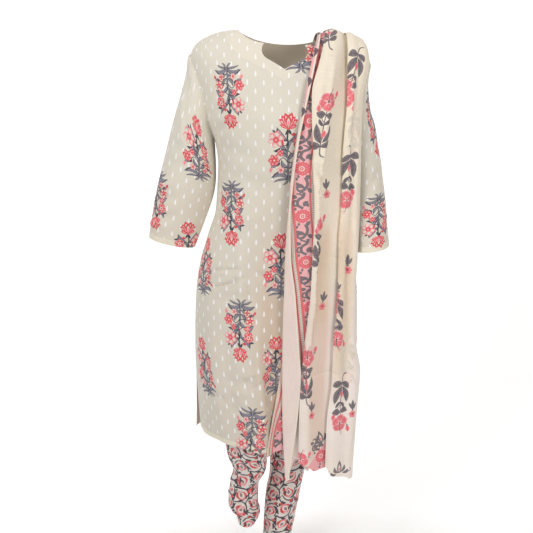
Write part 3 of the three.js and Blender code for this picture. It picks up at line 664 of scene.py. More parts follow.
def broad_leaf(base, tip, width, swing):
    base, tip = np.array(base, float), np.array(tip, float)
    run = tip - base
    aside = np.array([-run[1], run[0]])
    rib = [base, base + run * 0.5 + aside * swing, base + run * 0.88]
    shapes = [(LEAF, leaf(base, tip, width, swing, 0.45, 8)), (VEIN, stroke(rib, 1.5, 0.8, 3))]
    side = aside / np.linalg.norm(run) * width * 0.3
    for share in (0.34, 0.58):
        start = base + run * share + aside * swing * 4 * share * (1 - share)
        for way in (-1, 1):
            shapes.append((VEIN, leaf(start, start + run * 0.14 + side * way, 1.1, 0, 0.5, 3)))
    return shapes


def sprig():
    """The stole's flower sprig, its curved tail down."""
    shapes = [
        (LEAF, stroke([(4, -88), (-3, -84), (-5, -76), (-6, -64), (-5, -34), (-3, -8), (0, 16)], 3.0, 1.8,
                      3)),
        (LEAF, stroke([(-4, -12), (-14, 2), (-18, 12)], 1.8, 1.2, 3)),
        (LEAF, stroke([(0, 14), (14, 26), (24, 44)], 1.6, 1.0, 3)),
    ]
    for row in [
        ((-2, 6), (-23, 9), 17, 0.12), ((-2, 3), (18, 5), 16, -0.12), ((-6, -58), (-20, -14), 16, 0.08),
        ((-3, -56), (13, -16), 13, -0.1), ((-6, -65), (-29, -56), 17, 0.12),
        ((-5, -66), (13, -50), 13, -0.12), ((-4, -20), (-16, -4), 8, 0.1), ((-4, -18), (9, -2), 8, -0.1),
    ]:
        shapes += broad_leaf(*row)
    for base, tip in [((-5, -46), (-1, -29)), ((-17, 10), (-20, 26)), ((23, 42), (27, 58))]:
        shapes += [(LEAF, oval(*base, 2.6, 2.6, 6)), (PINK, leaf(base, tip, 10, 0, 0.5, 6)),
                   (CORAL, leaf(base, tip, 6, 0, 0.45, 5))]
    return shapes + hibiscus(1, 33, 21, 54)


def bud_sprig():
    """Three blades over one small round flower."""
    shapes = []
    for tip, width in (((-9, 15), 6), ((0, 22), 7), ((9, 14), 6)):
        shapes += [(LEAF, leaf((0, -2), tip, width, 0, 0.5, 8)),
                   (VEIN, stroke([(0, 0), (tip[0] * 0.8, tip[1] * 0.8)], 0.7, 0.4, 2))]
    return shapes + rosette(0, -13, 9, 6, CORAL, PINK, CORAL, VEIN) + [(LEAF, oval(0, -3, 2, 2.6, 7))]


def crest():
    """A pointed arch of leaves that stands on the end border."""
    shapes = [(LEAF, leaf((0, -8), (0, 26), 13, 0, 0.4)), (PALE, leaf((0, -4), (0, 16), 6, 0, 0.4, 7)),
              (CORAL, oval(0, 3, 2.2, 3.4, 7))]
    for way in (-1, 1):
        shapes += [(LEAF, leaf((way * 3, -6), (way * 14, 12), 8, -0.2 * way)),
                   (LEAF, leaf((way * 8, -8), (way * 24, 0), 8, -0.25 * way)),
                   (LEAF, stroke([(way * 20, -8), (way * 30, -4), (way * 27, 3)], 2.4, 1.2))]
    return shapes


def vine_repeat():
    """One repeat of the scroll in the stole's border, running up, with its round flower."""
    shapes = [(LEAF, stroke(line, thick, thin, 3)) for line, thick, thin in [
        ([(-9, -55), (3, -46), (8, -34), (4, -20)], 6.5, 6.0),
        ([(2, -46), (-6, -37), (-13, -42), (-11, -51), (-4, -50)], 5.0, 4.4),
        ([(3, 18), (-7, 27), (-5, 39), (6, 45), (9, 55)], 5.5, 6.8),
        ([(-4, 36), (-13, 38), (-15, 29), (-9, 25)], 5.0, 4.0), ([(7, 46), (0, 52), (-7, 54)], 4.4, 3.0),
    ]]
    shapes += [(LEAF, leaf(base, tip, width, 0.1, 0.5, 6)) for base, tip, width in [
        ((-2, -44), (-15, -32), 10), ((7, -44), (15, -56), 9), ((4, 22), (15, 34), 10),
        ((6, 30), (15, 20), 8), ((-6, 44), (-15, 52), 9), ((6, -26), (15, -14), 9),
    ]]
    shapes += [(LEAF, oval(x, y, 2.8, 3.6, 7)) for x, y in ((-13, -24), (-9, -18), (-13, 19))]
    wavy = [polar(0, 0, 15.6 + 1.6 * math.cos(math.radians(36 * k * 4)), 12 * k) for k in range(30)]
    shapes.append((CORAL, np.array(wavy)))
    for k in range(12):
        start, end = polar(0, 0, 7.5, 30 * k), polar(0, 0, 13.5, 30 * k)
        shapes.append((PINK, leaf(start, end, 1.6, 0, 0.5, 3)))
    return shapes + [(PALE, oval(0, 0, 6.2, 6.2)), (CORAL, oval(0, 0, 4.2, 4.2, 8)),
                     (PALE, oval(0, 0, 1.5, 1.5, 6))]


def cup_flower(x, y, turn, size):
    """A hollow teardrop flower, coral along one side, with a grey heart."""
    def part(back, front, width, swing=0.0, aside=0.0, count=7):
        middle = polar(x, y, aside * size, turn + 90)
        foot, tip = (polar(*middle, reach * size, turn) for reach in (-back, front))
        return leaf(foot, tip, width * size, swing, 0.58, count)

    return [(PINK, part(17, 20, 28)), (PALE, part(12.0, 13.0, 17)), (CORAL, part(15, 12, 8, 0.22, 6.6, 5)),
            (CORAL, part(8, 16, 5, -0.26, -7.0, 5)), (PINK, part(9, 7, 9, 0, 0, 5)),
            (GREY, part(7, 7, 7, 0, 0, 5))]


TILE_WIDE, TILE_HIGH = 84, 100
HALF_TILE = (42, 50)


def trellis_tile():
    """One repeat of the trousers' print."""
    shapes = []
    for row in [(-20, 30, 125, 1.0), (20, 16, 70, 0.95), (-22, -20, 60, 0.95), (18, -34, 118, 1.0)]:
        shapes += cup_flower(*row)
    shapes += [(INK, stroke(line, thick, thin, 3)) for line, thick, thin in [
        ([(-42, 8), (-32, 2), (-18, 4), (-6, 14), (-3, 34), (8, 50)], 4.6, 3.0),
        ([(42, 8), (38, -6), (26, -12), (8, -10), (-4, 2), (-8, 14)], 4.6, 2.8),
        ([(-42, -44), (-30, -46), (-12, -42), (-3, -28), (0, -12)], 4.6, 2.8),
        ([(42, -44), (38, -50)], 3.0, 3.0), ([(8, -50), (0, -42), (-4, -32)], 4.2, 2.6),
        ([(-42, -6), (-39, -18), (-40, -32)], 4.2, 2.2), ([(42, 36), (34, 42), (18, 40), (4, 26)], 4.6, 2.6),
        ([(-24, 50), (-34, 44), (-42, 36)], 3.2, 2.4), ([(-24, -50), (-34, -50), (-42, -44)], 2.6, 3.0),
        ([(36, 4), (39, 18), (33, 32)], 4.0, 2.0),
    ]]
    shapes += [(INK, leaf(base, tip, width + 1.6, 0.2, 0.5, 5)) for base, tip, width in [
        ((-6, 2), (-1, -16), 6), ((-12, -2), (-30, 6), 6), ((4, 30), (-8, 48), 6), ((26, 36), (41, 22), 6),
        ((-38, -10), (-41, 8), 5), ((2, -12), (14, -4), 5), ((38, -8), (38, -26), 6),
        ((-14, -42), (2, -49), 5), ((-36, 12), (-41, 30), 6), ((6, 44), (20, 49), 5),
        ((2, -22), (-8, -6), 5), ((6, -20), (8, -44), 5), ((34, -20), (39, -40), 5),
        ((-30, -40), (-38, -30), 5), ((10, 28), (4, 8), 5), ((-34, 40), (-40, 49), 4),
        ((-8, 24), (-6, 42), 5), ((28, 42), (38, 48), 5),
    ]]
    for x, y, turn in [(4, 4, 70), (37, -14, 100), (-39, 44, 30), (0, -24, 250), (36, 46, 200),
                       (-4, -38, 20)]:
        bud = leaf((x, y), polar(x, y, 10, turn), 8.6, 0, 0.5, 5)
        shapes += [(INK, oval(x, y, 3.6, 3.6, 6)), (CORAL, bud)]
    return shapes


def placed(shapes, at, turn=0.0, scale=(1.0, 1.0)):
    """A drawing moved onto the cloth, turned, and mirrored where a scale is negative."""
    c, s = math.cos(math.radians(turn)), math.sin(math.radians(turn))
    spin = np.array([[c, s], [-s, c]])
    return [(colour, (shape * scale) @ spin + at) for colour, shape in shapes]


def band(low, high):
    """A strip between two lines of points that run the same way."""
    return np.vstack([low, high[::-1]])


# ---------- sleeves ----------
RIGHT_SLEEVE = [
    # out, height there, inner, height there, middle y, half depth
    (233, -102, 168, -271, 0, 63), (254, -170, 167, -292, -2, 69), (269, -217, 166, -312, -5, 67),
    (286, -277, 166, -345, -8, 63), (303, -337, 171, -384, -11, 59), (319, -401, 186, -430, -15, 54),
    (328, -449, 203, -474, -19, 49), (337, -495, 221, -520, -22, 44),
]
LEFT_SLEEVE = [
    (203, -106, 154.5, -273, 0, 61), (210, -173, 153, -295, -3, 66), (223, -217, 152, -314, -8, 65),
    (232, -275, 151, -342, -15, 62), (243, -340, 153, -378, -26, 59), (251, -400, 157, -420, -40, 56),
    (255, -455, 164, -470, -56, 54), (259, -503, 172, -517, -74, 52),
]


def sleeve_surface(side, sections):
    """Rows down the sleeve; along each, 0 is the outer line and distances in front grow towards +X."""
    turn = side * math.pi * np.linspace(-1, 1, 121)
    rings = []
    for proud in (-1.0, 3.0):
        y = ARMHOLE["y"] + (ARMHOLE["across"] - 0.3) * np.sin(turn)
        z = ARMHOLE["z"] + (ARMHOLE["down"] - 0.3) * np.cos(turn)
        x = np.where(y < 0, side_x(side, np.abs(y), z, 1), side_x(side, np.abs(y), z, -1))
        rings.append(np.stack([x + side * proud, y, z], 1))
    for out, out_z, inn, inn_z, y, depth in sections:
        outer, inner = np.array([side * out, y, out_z]), np.array([side * inn, y, inn_z])
        middle = (outer + inner) / 2
        ring = middle + (outer - middle) * np.cos(turn)[:, None]
        ring[:, 1] += depth * np.sin(turn)
        rings.append(ring)
    rings = np.array(rings)
    down = arc_length(rings.mean(1))
    v = np.linspace(0, down[-1], 60)
    fine = np.empty((len(v), len(turn), 3))
    for k in range(len(turn)):
        for c in range(3):
            fine[:, k, c] = curve_through(down, rings[:, k, c])(v)
    along = np.array([arc_length(r) for r in fine])
    along -= along[:, 60:61]
    return Surface(-v, along, fine)


def tube_outline(surface, step):
    """Edge of a tube's cloth, opened along its hidden seam."""
    low, high = surface.rows[0], surface.rows[-1]
    v = np.linspace(low, high, max(3, int((high - low) / step)))
    left = np.array([(np.interp(h, surface.rows, surface.along[:, 0]), h) for h in v])
    right = np.array([(np.interp(h, surface.rows, surface.along[:, -1]), h) for h in v])
    count = int((right[0][0] - left[0][0]) / step)
    foot = np.stack([np.linspace(left[0][0], right[0][0], count), np.full(count, low)], 1)[1:-1]
    head = np.stack([np.linspace(right[-1][0], left[-1][0], count), np.full(count, high)], 1)[1:-1]
    return np.vstack([foot, right, head, left[::-1]])


def nearest(surface, x, z, front=True):
    """Cloth coordinates of the place seen at x and z."""
    p = surface.points
    away = (p[:, :, 0] - x) ** 2 + (p[:, :, 2] - z) ** 2
    middle = p[:, :, 1].mean(1)[:, None]
    away = np.where((p[:, :, 1] < middle) == front, away, 1e9)
    j, i = np.unravel_index(np.argmin(away), away.shape)
    return surface.along[j, i], surface.rows[j]


# ---------- trousers ----------
WAIST = {"z": -372.0, "height": 34.0, "middle": -8.0, "half": 132.0, "front": 82.0, "back": 64.0}
LEG_TOP = WAIST["z"] - WAIST["height"] - 0.3
LEGS = {
    "right": columns("z side inner y front back turn", [
        (LEG_TOP, -140, -8, 0, 82, 64, 0), (-470, -168, -10, 0, 92, 74, 0), (-540, -186, -12, 0, 98, 92, 0),
        (-610, -193, -14, 0, 98, 100, 0.12), (-655, -193, -15, -2, 96, 100, 0.45),
        (-690, -191, -16, -6, 94, 92, 1), (-760, -182, -24, -28, 84, 84, 1),
        (-860, -168, -28, -70, 78, 74, 1), (-950, -155, -32, -100, 72, 66, 1),
        (-1040, -147, -37, -92, 62, 60, 1), (-1115, -130, -41, -70, 52, 54, 1),
        (-1165, -139, -62, -62, 48, 50, 1), (-1236, -146, -64, -52, 46, 50, 1),
        (-1265, -126, -58, -48, 44, 48, 1), (-1293, -121, -70, -44, 42, 44, 1),
    ]),
    "left": columns("z side inner y front back turn", [
        (LEG_TOP, 124, -8, 0, 82, 64, 0), (-470, 148, -10, 0, 92, 74, 0), (-540, 162, -12, 0, 98, 92, 0),
        (-610, 166, -14, 0, 98, 100, 0.12), (-655, 165, -15, 0, 94, 100, 0.45),
        (-690, 162, -16, 0, 88, 92, 1), (-760, 150, -10, 0, 80, 84, 1), (-860, 128, -12, 2, 70, 72, 1),
        (-950, 110, -18, 4, 62, 64, 1), (-1040, 92, -26, 6, 56, 60, 1), (-1100, 80, -31, 8, 52, 57, 1),
        (-1175, 65, -32, 10, 48, 54, 1), (-1235, 54, -42, 10, 46, 51, 1), (-1310, 42, -48, 10, 44, 48, 1),
        (-1388, 28, -51, 10, 42, 45, 1),
    ]),
}
LEG_HEM = {"right": -1293.0, "left": -1388.0}


def leg_surface(leg, face):
    """The front (-1) or back (1) panel of a leg, its rows running towards +X."""
    rows = LEGS[leg]
    side = -1 if leg == "right" else 1
    gap = 0.24
    levels = np.arange(LEG_HEM[leg], LEG_TOP, 9.0)
    levels[-1] = LEG_TOP
    t = np.linspace(0, 1, 61)[:, None]
    along, points = [], []
    for z in levels:
        turn = min(1.0, float(rows["turn"](z)))
        swing = turn * turn * (3 - 2 * turn)
        depth = float(rows["front" if face < 0 else "back"](z))
        y = float(rows["y"](z))
        start = np.array([float(rows["side"](z)), y + face * gap])
        end = np.array([float(rows["inner"](z)) + side * gap, y + face * (gap + (depth - gap) * (1 - swing))])
        width = abs(start[0] - end[0])
        first = start + (0, face * (0.55 + (4 / 3 - 0.55) * swing) * depth)
        last = end + (side * math.cos(swing * math.pi / 2) * 0.55 * width,
                      face * math.sin(swing * math.pi / 2) * 4 / 3 * depth)
        curve = ((1 - t) ** 3 * start + 3 * (1 - t) ** 2 * t * first + 3 * (1 - t) * t * t * last
                 + t ** 3 * end)
        if side > 0:
            curve = curve[::-1]
        run = arc_length(curve)
        along.append(run if side < 0 else run - run[-1])
        points.append(np.column_stack([curve, np.full(len(curve), z)]))
    return Surface(levels, along, points)


def waist_surface():
    turn = math.pi * np.linspace(-1, 1, 161)
    rows, along, points = [], [], []
    for share in np.linspace(0, 1, 9):
        depth = np.where(np.sin(turn) < 0, WAIST["front"], WAIST["back"])
        gather = 1 + 0.012 * np.sin(46 * turn) * math.sin(math.pi * share) + 0.006 * np.sin(31 * turn + 2)
        x = WAIST["middle"] + WAIST["half"] * bow(np.cos(turn)) * gather
        y = depth * bow(np.sin(turn)) * gather
        z = WAIST["z"] - WAIST["height"] * share
        points.append(np.stack([x, y, np.full_like(x, z)], 1))
        along.append(arc_length(points[-1]))
        rows.append(z)
    return Surface(rows, along, points)


# ---------- the stole ----------
FOLD_LINES = columns("z inner selvedge first fall second outer", [
    (0, 76, 84, 94, 134, 142, 188), (-60, 62, 71, 79, 130, 142, 194), (-140, 45, 54, 60, 118, 143, 182),
    (-265, 23, 30, 62, 105, 139, 180), (-340, 14, 21, 68, 92, 137, 181), (-415, 9, 15, 67, 88, 136, 181),
    (-520, 3, 17, 64, 87, 134, 178), (-600, 1, 27, 61, 86, 132, 175), (-745, -2, 38, 47, 82, 119, 182),
    (-820, -2, 44, 43, 80, 118, 195), (-950, -1, 35, 40, 80, 110, 189), (-1080, 6, 18, 40, 82, 109, 184),
])
STOLE_FRONT = columns("z near arm", [
    (-60, 100, 72), (-110, 117, 76), (-160, 127, 78), (-230, 136, 82), (-310, 138, 88), (-420, 139, 94),
    (-510, 140, 103), (-700, 142, 107), (-850, 144, 108), (-1100, 147, 110),
])
STOLE_BACK = columns("z near arm", [
    (-60, 84, 70), (-110, 96, 74), (-160, 102, 76), (-260, 106, 76), (-420, 106, 80), (-600, 122, 96),
    (-1000, 126, 100),
])
CREST = columns("x z", [(60, -8), (85, -1), (108, 3), (138, 0), (181, -15), (204, -33)])
STOLE_TOP = -60.0
TURN = 2.4                    # half the thickness of a folded edge
BACK_RISE = 130.0
# fold line followed, distance from it, height off the body, hem, way it turns, rise
PLEATS = [
    ("selvedge", 0, 11, -1100, 0, 0), ("inner", TURN, 7.5, -1106, -1, -1), ("inner", 30, 3.5, -1046, 0, 0),
    ("first", 24, 5.5, -1078, 1, 1), ("first", TURN, 12.5, -1053, -1, 1), ("first", 18, 22, -1056, 0, 0),
    ("fall", -12, 20, -1066, 0, 0), ("fall", 2, 11, -1079, 0, 0), ("second", -10, 4, -1079, 0, 0),
    ("second", 15, 5.5, -1076, 1, 1), ("second", TURN, 12.5, -1072, -1, 1), ("second", 14, 24, -1092, 0, 0),
    ("outer", -24, 19, -1106, 0, 0), ("outer", -9, 22, -1114, 0, 0), ("outer", -TURN, 12, -1116, 1, -1),
    ("outer", -26, 4, -1090, 0, 0),
]
PER_STEP = 8


def pleat_points():
    found = []
    for line, aside, lift, hem, turn, rise in PLEATS:
        if turn:
            found += [(line, aside, lift - rise * TURN, hem), (line, aside + turn * TURN, lift, hem),
                      (line, aside, lift + rise * TURN, hem)]
        else:
            found.append((line, aside, lift, hem))
    return found


CONTROLS = pleat_points()


def through(points):
    """A smooth line through the points, with the same number of steps between each two."""
    ends = np.vstack([2 * points[0] - points[1], points, 2 * points[-1] - points[-2]])
    gaps = np.maximum(np.linalg.norm(np.diff(ends, axis=0), axis=1), 1e-6) ** 0.5
    knots = np.concatenate([[0], np.cumsum(gaps)])
    found = []
    for k in range(1, len(ends) - 2):
        t0, t1, t2, t3 = knots[k - 1:k + 3]
        t = np.linspace(t1, t2, PER_STEP + 1)[:-1, None]
        p0, p1, p2, p3 = ends[k - 1:k + 3]
        a1 = (t1 - t) / (t1 - t0) * p0 + (t - t0) / (t1 - t0) * p1
        a2 = (t2 - t) / (t2 - t1) * p1 + (t - t1) / (t2 - t1) * p2
        a3 = (t3 - t) / (t3 - t2) * p2 + (t - t2) / (t3 - t2) * p3
        b1 = (t2 - t) / (t2 - t0) * a1 + (t - t0) / (t2 - t0) * a2
        b2 = (t3 - t) / (t3 - t1) * a2 + (t - t1) / (t3 - t1) * a3
        found.append((t2 - t) / (t2 - t1) * b1 + (t - t1) / (t2 - t1) * b2)
    return np.vstack(found + [points[-1:]])


def pleat_line(z):
    """x and height off the body along the pleated section at a height."""
    return through(np.array([(float(FOLD_LINES[line](z)) + aside, lift) for line, aside, lift,
                             _ in CONTROLS]))


def off_body(table, x, z):
    share = np.clip((x - 60) / 115, 0, 1.25)
    near, arm = table["near"](z), table["arm"](z)
    return near + (arm - near) * share ** 1.3


def stole_surface():
    """Rows from the front hem up, over the shoulder and down behind."""
    rows, points = [], []
    for z in np.arange(-1122.0, STOLE_TOP, 9.0):
        x, lift = pleat_line(z).T
        rows.append(z)
        points.append(np.stack([x, -off_body(STOLE_FRONT, x, z) - lift, np.full_like(x, z)], 1))
    over = []
    for angle in np.linspace(0, math.pi, 29):
        rise = max(0.0, math.sin(angle)) ** (2 / 2.5)
        swing = math.copysign(abs(math.cos(angle)) ** (2 / 2.5), math.cos(angle))
        x, lift = pleat_line(STOLE_TOP * (1 - rise)).T
        front, back = (off_body(table, x, STOLE_TOP) + lift for table in (STOLE_FRONT, STOLE_BACK))
        top = CREST["z"](x) + lift * 0.4
        y = (back - front) / 2 - (back + front) / 2 * swing
        over.append(np.stack([x, y, STOLE_TOP + (top - STOLE_TOP) * rise], 1))
    over = np.array(over)
    run = arc_length(over[:, 100])
    rows += list(STOLE_TOP + run)
    points += list(over)
    start = rows[-1]
    for z in np.arange(STOLE_TOP - 9, -1000.0, -9.0):
        x, lift = pleat_line(z).T
        rows.append(start + STOLE_TOP - z)
        points.append(np.stack([x, off_body(STOLE_BACK, x, z) + lift, np.full_like(x, z)], 1))
    # distances across are counted from the trough between the panes
    along = [arc_length(p) for p in points]
    return Surface(rows, [a - a[12 * PER_STEP] for a in along], points), start


STOLE, BACK_START = stole_surface()


def stole_row(v):
    """The stole's cross line at one place along it: points and distances across."""
    k = int(np.clip(np.searchsorted(STOLE.rows, v, side="right") - 1, 0, len(STOLE.rows) - 2))
    share = np.clip((v - STOLE.rows[k]) / (STOLE.rows[k + 1] - STOLE.rows[k]), 0, 1)
    return (STOLE.points[k] + (STOLE.points[k + 1] - STOLE.points[k]) * share,
            STOLE.along[k] + (STOLE.along[k + 1] - STOLE.along[k]) * share)


def control_u(control, v):
    return float(stole_row(v)[1][control * PER_STEP])


def hem_of(place_of):
    """The stole's end, where place_of turns a control's hem height into a place along the stole."""
    ends = [place_of(c[3]) for c in CONTROLS]
    u = [control_u(k, v) for k, v in enumerate(ends)]
    curve = curve_through(u, ends)
    across = np.linspace(u[0], u[-1], 90)
    return np.stack([across, curve(across)], 1)


def stole_outline():
    front = hem_of(lambda z: z)
    back = hem_of(lambda z: BACK_START + STOLE_TOP - z - BACK_RISE)[::-1]
    up = np.arange(front[-1, 1] + 7, back[0, 1] - 4, 7)
    down = np.arange(front[0, 1] + 7, back[-1, 1] - 4, 7)[::-1]
    return np.vstack([front, [(stole_row(v)[1][-1], v) for v in up], back,
                      [(stole_row(v)[1][0], v) for v in down]])


def stole_u(x, v, first, last):
    """Distance across the stole of the place at x, on the layer between two control points."""
    part = slice(first * PER_STEP, last * PER_STEP + 1)
    line, around = (row[part] for row in stole_row(v))
    line = line[:, 0]
    order = np.argsort(line)
    line, around = line[order], around[order]
    past = max(0.0, x - line[-1]) - max(0.0, line[0] - x)
    return float(np.interp(x, line, around)) + past * (1 if around[-1] > around[0] else -1)


# the control points at both sides of each layer
UNDER, PANE_ONE, VALLEY, PANE_TWO = (3, 5), (9, 13), (13, 15), (19, 25)

# The lines of the stole's border lean across the layer below the flap: where its first line runs.
BORDER_AT = columns("z x", [
    (0, 70), (-60, 60), (-140, 40), (-200, 20), (-260, 8), (-300, 3), (-350, 3), (-415, 6), (-450, 10.5),
    (-523, 15), (-587, 24), (-640, 30), (-697, 36), (-820, 48), (-1000, 60), (-1110, 66),
])
STRIPES = [(0, 5, "line"), (5, 12, "hatch"), (12, 19, "line"), (19, 54, "band"), (54, 59, "line"),
           (59, 66, "hatch"), (66, 70, "line")]


def border_u(aside, v):
    """Distance across the stole of a place this far from the border's first line."""
    if v <= STOLE_TOP:
        z = v
    elif v < BACK_START:
        z = STOLE_TOP * abs(1 - 2 * (v - STOLE_TOP) / (BACK_START - STOLE_TOP))
    else:
        z = STOLE_TOP - (v - BACK_START)
    return stole_u(float(BORDER_AT["x"](z)) + aside, v, *UNDER)


def corner_surface():
    rows = columns("z left right", [
        (-700, 12, 60), (-760, 2, 60), (-822, -8, 56), (-880, -17, 52), (-942, -29, 48), (-1000, -39, 44),
        (-1022, -41, 40),
    ])
    levels = np.arange(-1022.0, -699, 7.0)
    points = []
    for z in levels:
        x = np.linspace(float(rows["left"](z)), float(rows["right"](z)), 40)
        across = np.minimum(1, np.abs(x - BODY["middle"](z)) / BODY["half"](z))
        y = -BODY["front"](z) * (1 - across ** FULLNESS) ** (1 / FULLNESS) - knee_out(x, z) - 2.5
        points.append(np.stack([x, y, np.full_like(x, z)], 1))
    return Surface(levels, [arc_length(p) for p in points], points)


# ---------- materials ----------
def linear(red, green, blue):
    """A screen colour, 0 to 255, as the shader's colour."""
    shares = [v / 255 / 12.92 if v <= 10 else ((v / 255 + 0.055) / 1.055) ** 2.4 for v in (red, green, blue)]
    return (*shares, 1.0)


class Finish:
    """A material's node tree, with short ways to add to it."""

    def __init__(self, name):
        self.material = bpy.data.materials.new(name)
        self.material.use_nodes = True
        self.tree = self.material.node_tree
        self.shader = self.tree.nodes["Principled BSDF"]
        self.output = self.tree.nodes["Material Output"]
        place = self.tree.nodes.new("ShaderNodeUVMap")
        place.uv_map = "UVMap"
        parts = self.tree.nodes.new("ShaderNodeSeparateXYZ")
        self.link(place.outputs[0], parts.inputs[0])
        self.uv, self.u, self.v = place.outputs[0], parts.outputs[0], parts.outputs[1]

    def link(self, start, end):
        self.tree.links.new(start, end)

    def put(self, socket, value):
        if isinstance(value, bpy.types.NodeSocket):
            self.link(value, socket)
        else:
            socket.default_value = value

    def math(self, operation, *values):
        node = self.tree.nodes.new("ShaderNodeMath")
        node.operation = operation
        for k, value in enumerate(values):
            self.put(node.inputs[k], value)
        return node.outputs[0]

    def noise(self, scale_u, scale_v, detail=2.0, rough=0.5):
        move = self.tree.nodes.new("ShaderNodeMapping")
        move.inputs["Scale"].default_value = (scale_u, scale_v, 1)
        self.link(self.uv, move.inputs["Vector"])
        node = self.tree.nodes.new("ShaderNodeTexNoise")
        node.inputs["Scale"].default_value = 1.0
        node.inputs["Detail"].default_value = detail
        node.inputs["Roughness"].default_value = rough
        self.link(move.outputs[0], node.inputs["Vector"])
        return node.outputs[0]

    def mix(self, share, first, second):
        node = self.tree.nodes.new("ShaderNodeMix")
        node.data_type = "RGBA"
        self.put(node.inputs[0], share)
        self.put(node.inputs[6], first)
        self.put(node.inputs[7], second)
        return node.outputs[2]

    def ramp(self, value, low, high):
        node = self.tree.nodes.new("ShaderNodeMapRange")
        node.interpolation_type = "SMOOTHSTEP"
        self.put(node.inputs[0], value)
        node.inputs[1].default_value = low
        node.inputs[2].default_value = high
        return node.outputs[0]


def darker(colour, share):
    return tuple(c * share for c in colour[:3]) + (1.0,)


def woven_drops(finish):
    """Rows of small woven drops, narrower at the top, each row half a step aside."""
    pitch_u, pitch_v = 0.0188, 0.039
    column = finish.math("DIVIDE", finish.u, pitch_u)
    shift = finish.math("MULTIPLY", finish.math("FLOORED_MODULO", finish.math("FLOOR", column), 2.0), 0.5)
    row = finish.math("ADD", finish.math("DIVIDE", finish.v, pitch_v), shift)
    x = finish.math("MULTIPLY", finish.math("SUBTRACT", finish.math("FRACT", column), 0.5), pitch_u)
    y = finish.math("MULTIPLY", finish.math("SUBTRACT", finish.math("FRACT", row), 0.5), pitch_v)
    narrow = finish.math("SUBTRACT", 0.0021, finish.math("MULTIPLY", y, 0.11))
    across = finish.math("DIVIDE", x, narrow)
    up = finish.math("DIVIDE", y, 0.0067)
    reach = finish.math("ADD", finish.math("POWER", finish.math("ABSOLUTE", across), 2.0),
                        finish.math("POWER", finish.math("ABSOLUTE", up), 2.6))
    return finish.math("SUBTRACT", 1.0, finish.ramp(reach, 0.72, 1.12))


def cloth(name, colour, thread=0.0007, drops=None, grain=0.0, under=None, sheer=0.0, sheen=0.15, low=None,
          shade_bands=()):
    """Plain-woven cloth with slubs and uneven colour; woven drops, print grain, sheerness, a low colour and
    bands of painted shade where given.
    """
    finish = Finish(name)
    waves = finish.math("MULTIPLY",
                        finish.math("SINE", finish.math("MULTIPLY", finish.u, 2 * math.pi / thread)),
                        finish.math("SINE", finish.math("MULTIPLY", finish.v, 2 * math.pi / thread)))
    warp = finish.noise(900, 28, 3)
    weft = finish.noise(24, 900, 3)
    slub = finish.math("ADD", warp, weft)
    cloud = finish.noise(9, 7, 3)
    tone = finish.mix(finish.ramp(slub, 0.7, 1.3), darker(colour, 0.955), colour)
    # towards the bottom the colour turns to low; on the kurti's ground that is painted shade
    if low is not None:
        tone = finish.mix(finish.ramp(finish.v, -0.28, -0.86), tone, finish.mix(slub, darker(low, 0.94), low))
    for shade_colour, middle, half, top, full, foot in shade_bands:
        # a soft upright band of painted shade, strongest between full and foot
        off = finish.math("ABSOLUTE", finish.math("SUBTRACT", finish.u, middle))
        along = finish.math("MULTIPLY", finish.ramp(finish.v, top, full),
                            finish.ramp(finish.v, foot - 0.2, foot))
        tone = finish.mix(finish.math("MULTIPLY", along, finish.ramp(off, half, half * 0.4)), tone,
                          linear(*shade_colour))
    tone = finish.mix(finish.ramp(cloud, 0.3, 0.75), tone, finish.mix(0.5, tone, darker(colour, 0.93)))
    height = finish.math("ADD", finish.math("MULTIPLY", waves, 0.3), slub)
    if drops is not None:
        mask = woven_drops(finish)
        tone = finish.mix(finish.math("MULTIPLY", mask, 0.92), tone, drops)
        height = finish.math("ADD", height, finish.math("MULTIPLY", mask, 1.6))
    if grain:
        speck = finish.ramp(finish.noise(700, 620, 3, 0.6), 0.52, 0.72)
        tone = finish.mix(finish.math("MULTIPLY", speck, grain), tone, under)
    finish.link(tone, finish.shader.inputs["Base Color"])
    finish.shader.inputs["Roughness"].default_value = 0.86
    finish.shader.inputs["Specular IOR Level"].default_value = 0.25
    finish.shader.inputs["Sheen Weight"].default_value = sheen
    finish.shader.inputs["Sheen Roughness"].default_value = 0.45
    bump = finish.tree.nodes.new("ShaderNodeBump")
    bump.inputs["Strength"].default_value = 0.22
    bump.inputs["Distance"].default_value = 0.00025
    finish.link(height, bump.inputs["Height"])
    finish.link(bump.outputs[0], finish.shader.inputs["Normal"])
    if sheer:
        through = finish.tree.nodes.new("ShaderNodeBsdfTranslucent")
        finish.link(tone, through.inputs["Color"])
        body = finish.tree.nodes.new("ShaderNodeMixShader")
        body.inputs[0].default_value = 0.06
        finish.link(finish.shader.outputs[0], body.inputs[1])
        finish.link(through.outputs[0], body.inputs[2])
        clear = finish.tree.nodes.new("ShaderNodeBsdfTransparent")
        veil = finish.tree.nodes.new("ShaderNodeMixShader")
        covered = finish.math("SUBTRACT", 1.0, finish.math("MULTIPLY", finish.ramp(slub, 1.35, 0.75), sheer))
        finish.link(covered, veil.inputs[0])
        finish.link(clear.outputs[0], veil.inputs[1])
        finish.link(body.outputs[0], veil.inputs[2])
        finish.link(veil.outputs[0], finish.output.inputs["Surface"])
    return finish.material


def shades(prefix, rows):
    """Materials from rows of name, colour and options."""
    return [cloth(f"{prefix}_{name}", linear(*colour), **options) for name, colour, options in rows]


def plain_paint(name, colour, roughness):
    paint = bpy.data.materials.new(name)
    paint.use_nodes = True
    shader = paint.node_tree.nodes["Principled BSDF"]
    shader.inputs["Base Color"].default_value = colour
    shader.inputs["Roughness"].default_value = roughness
    return paint, shader


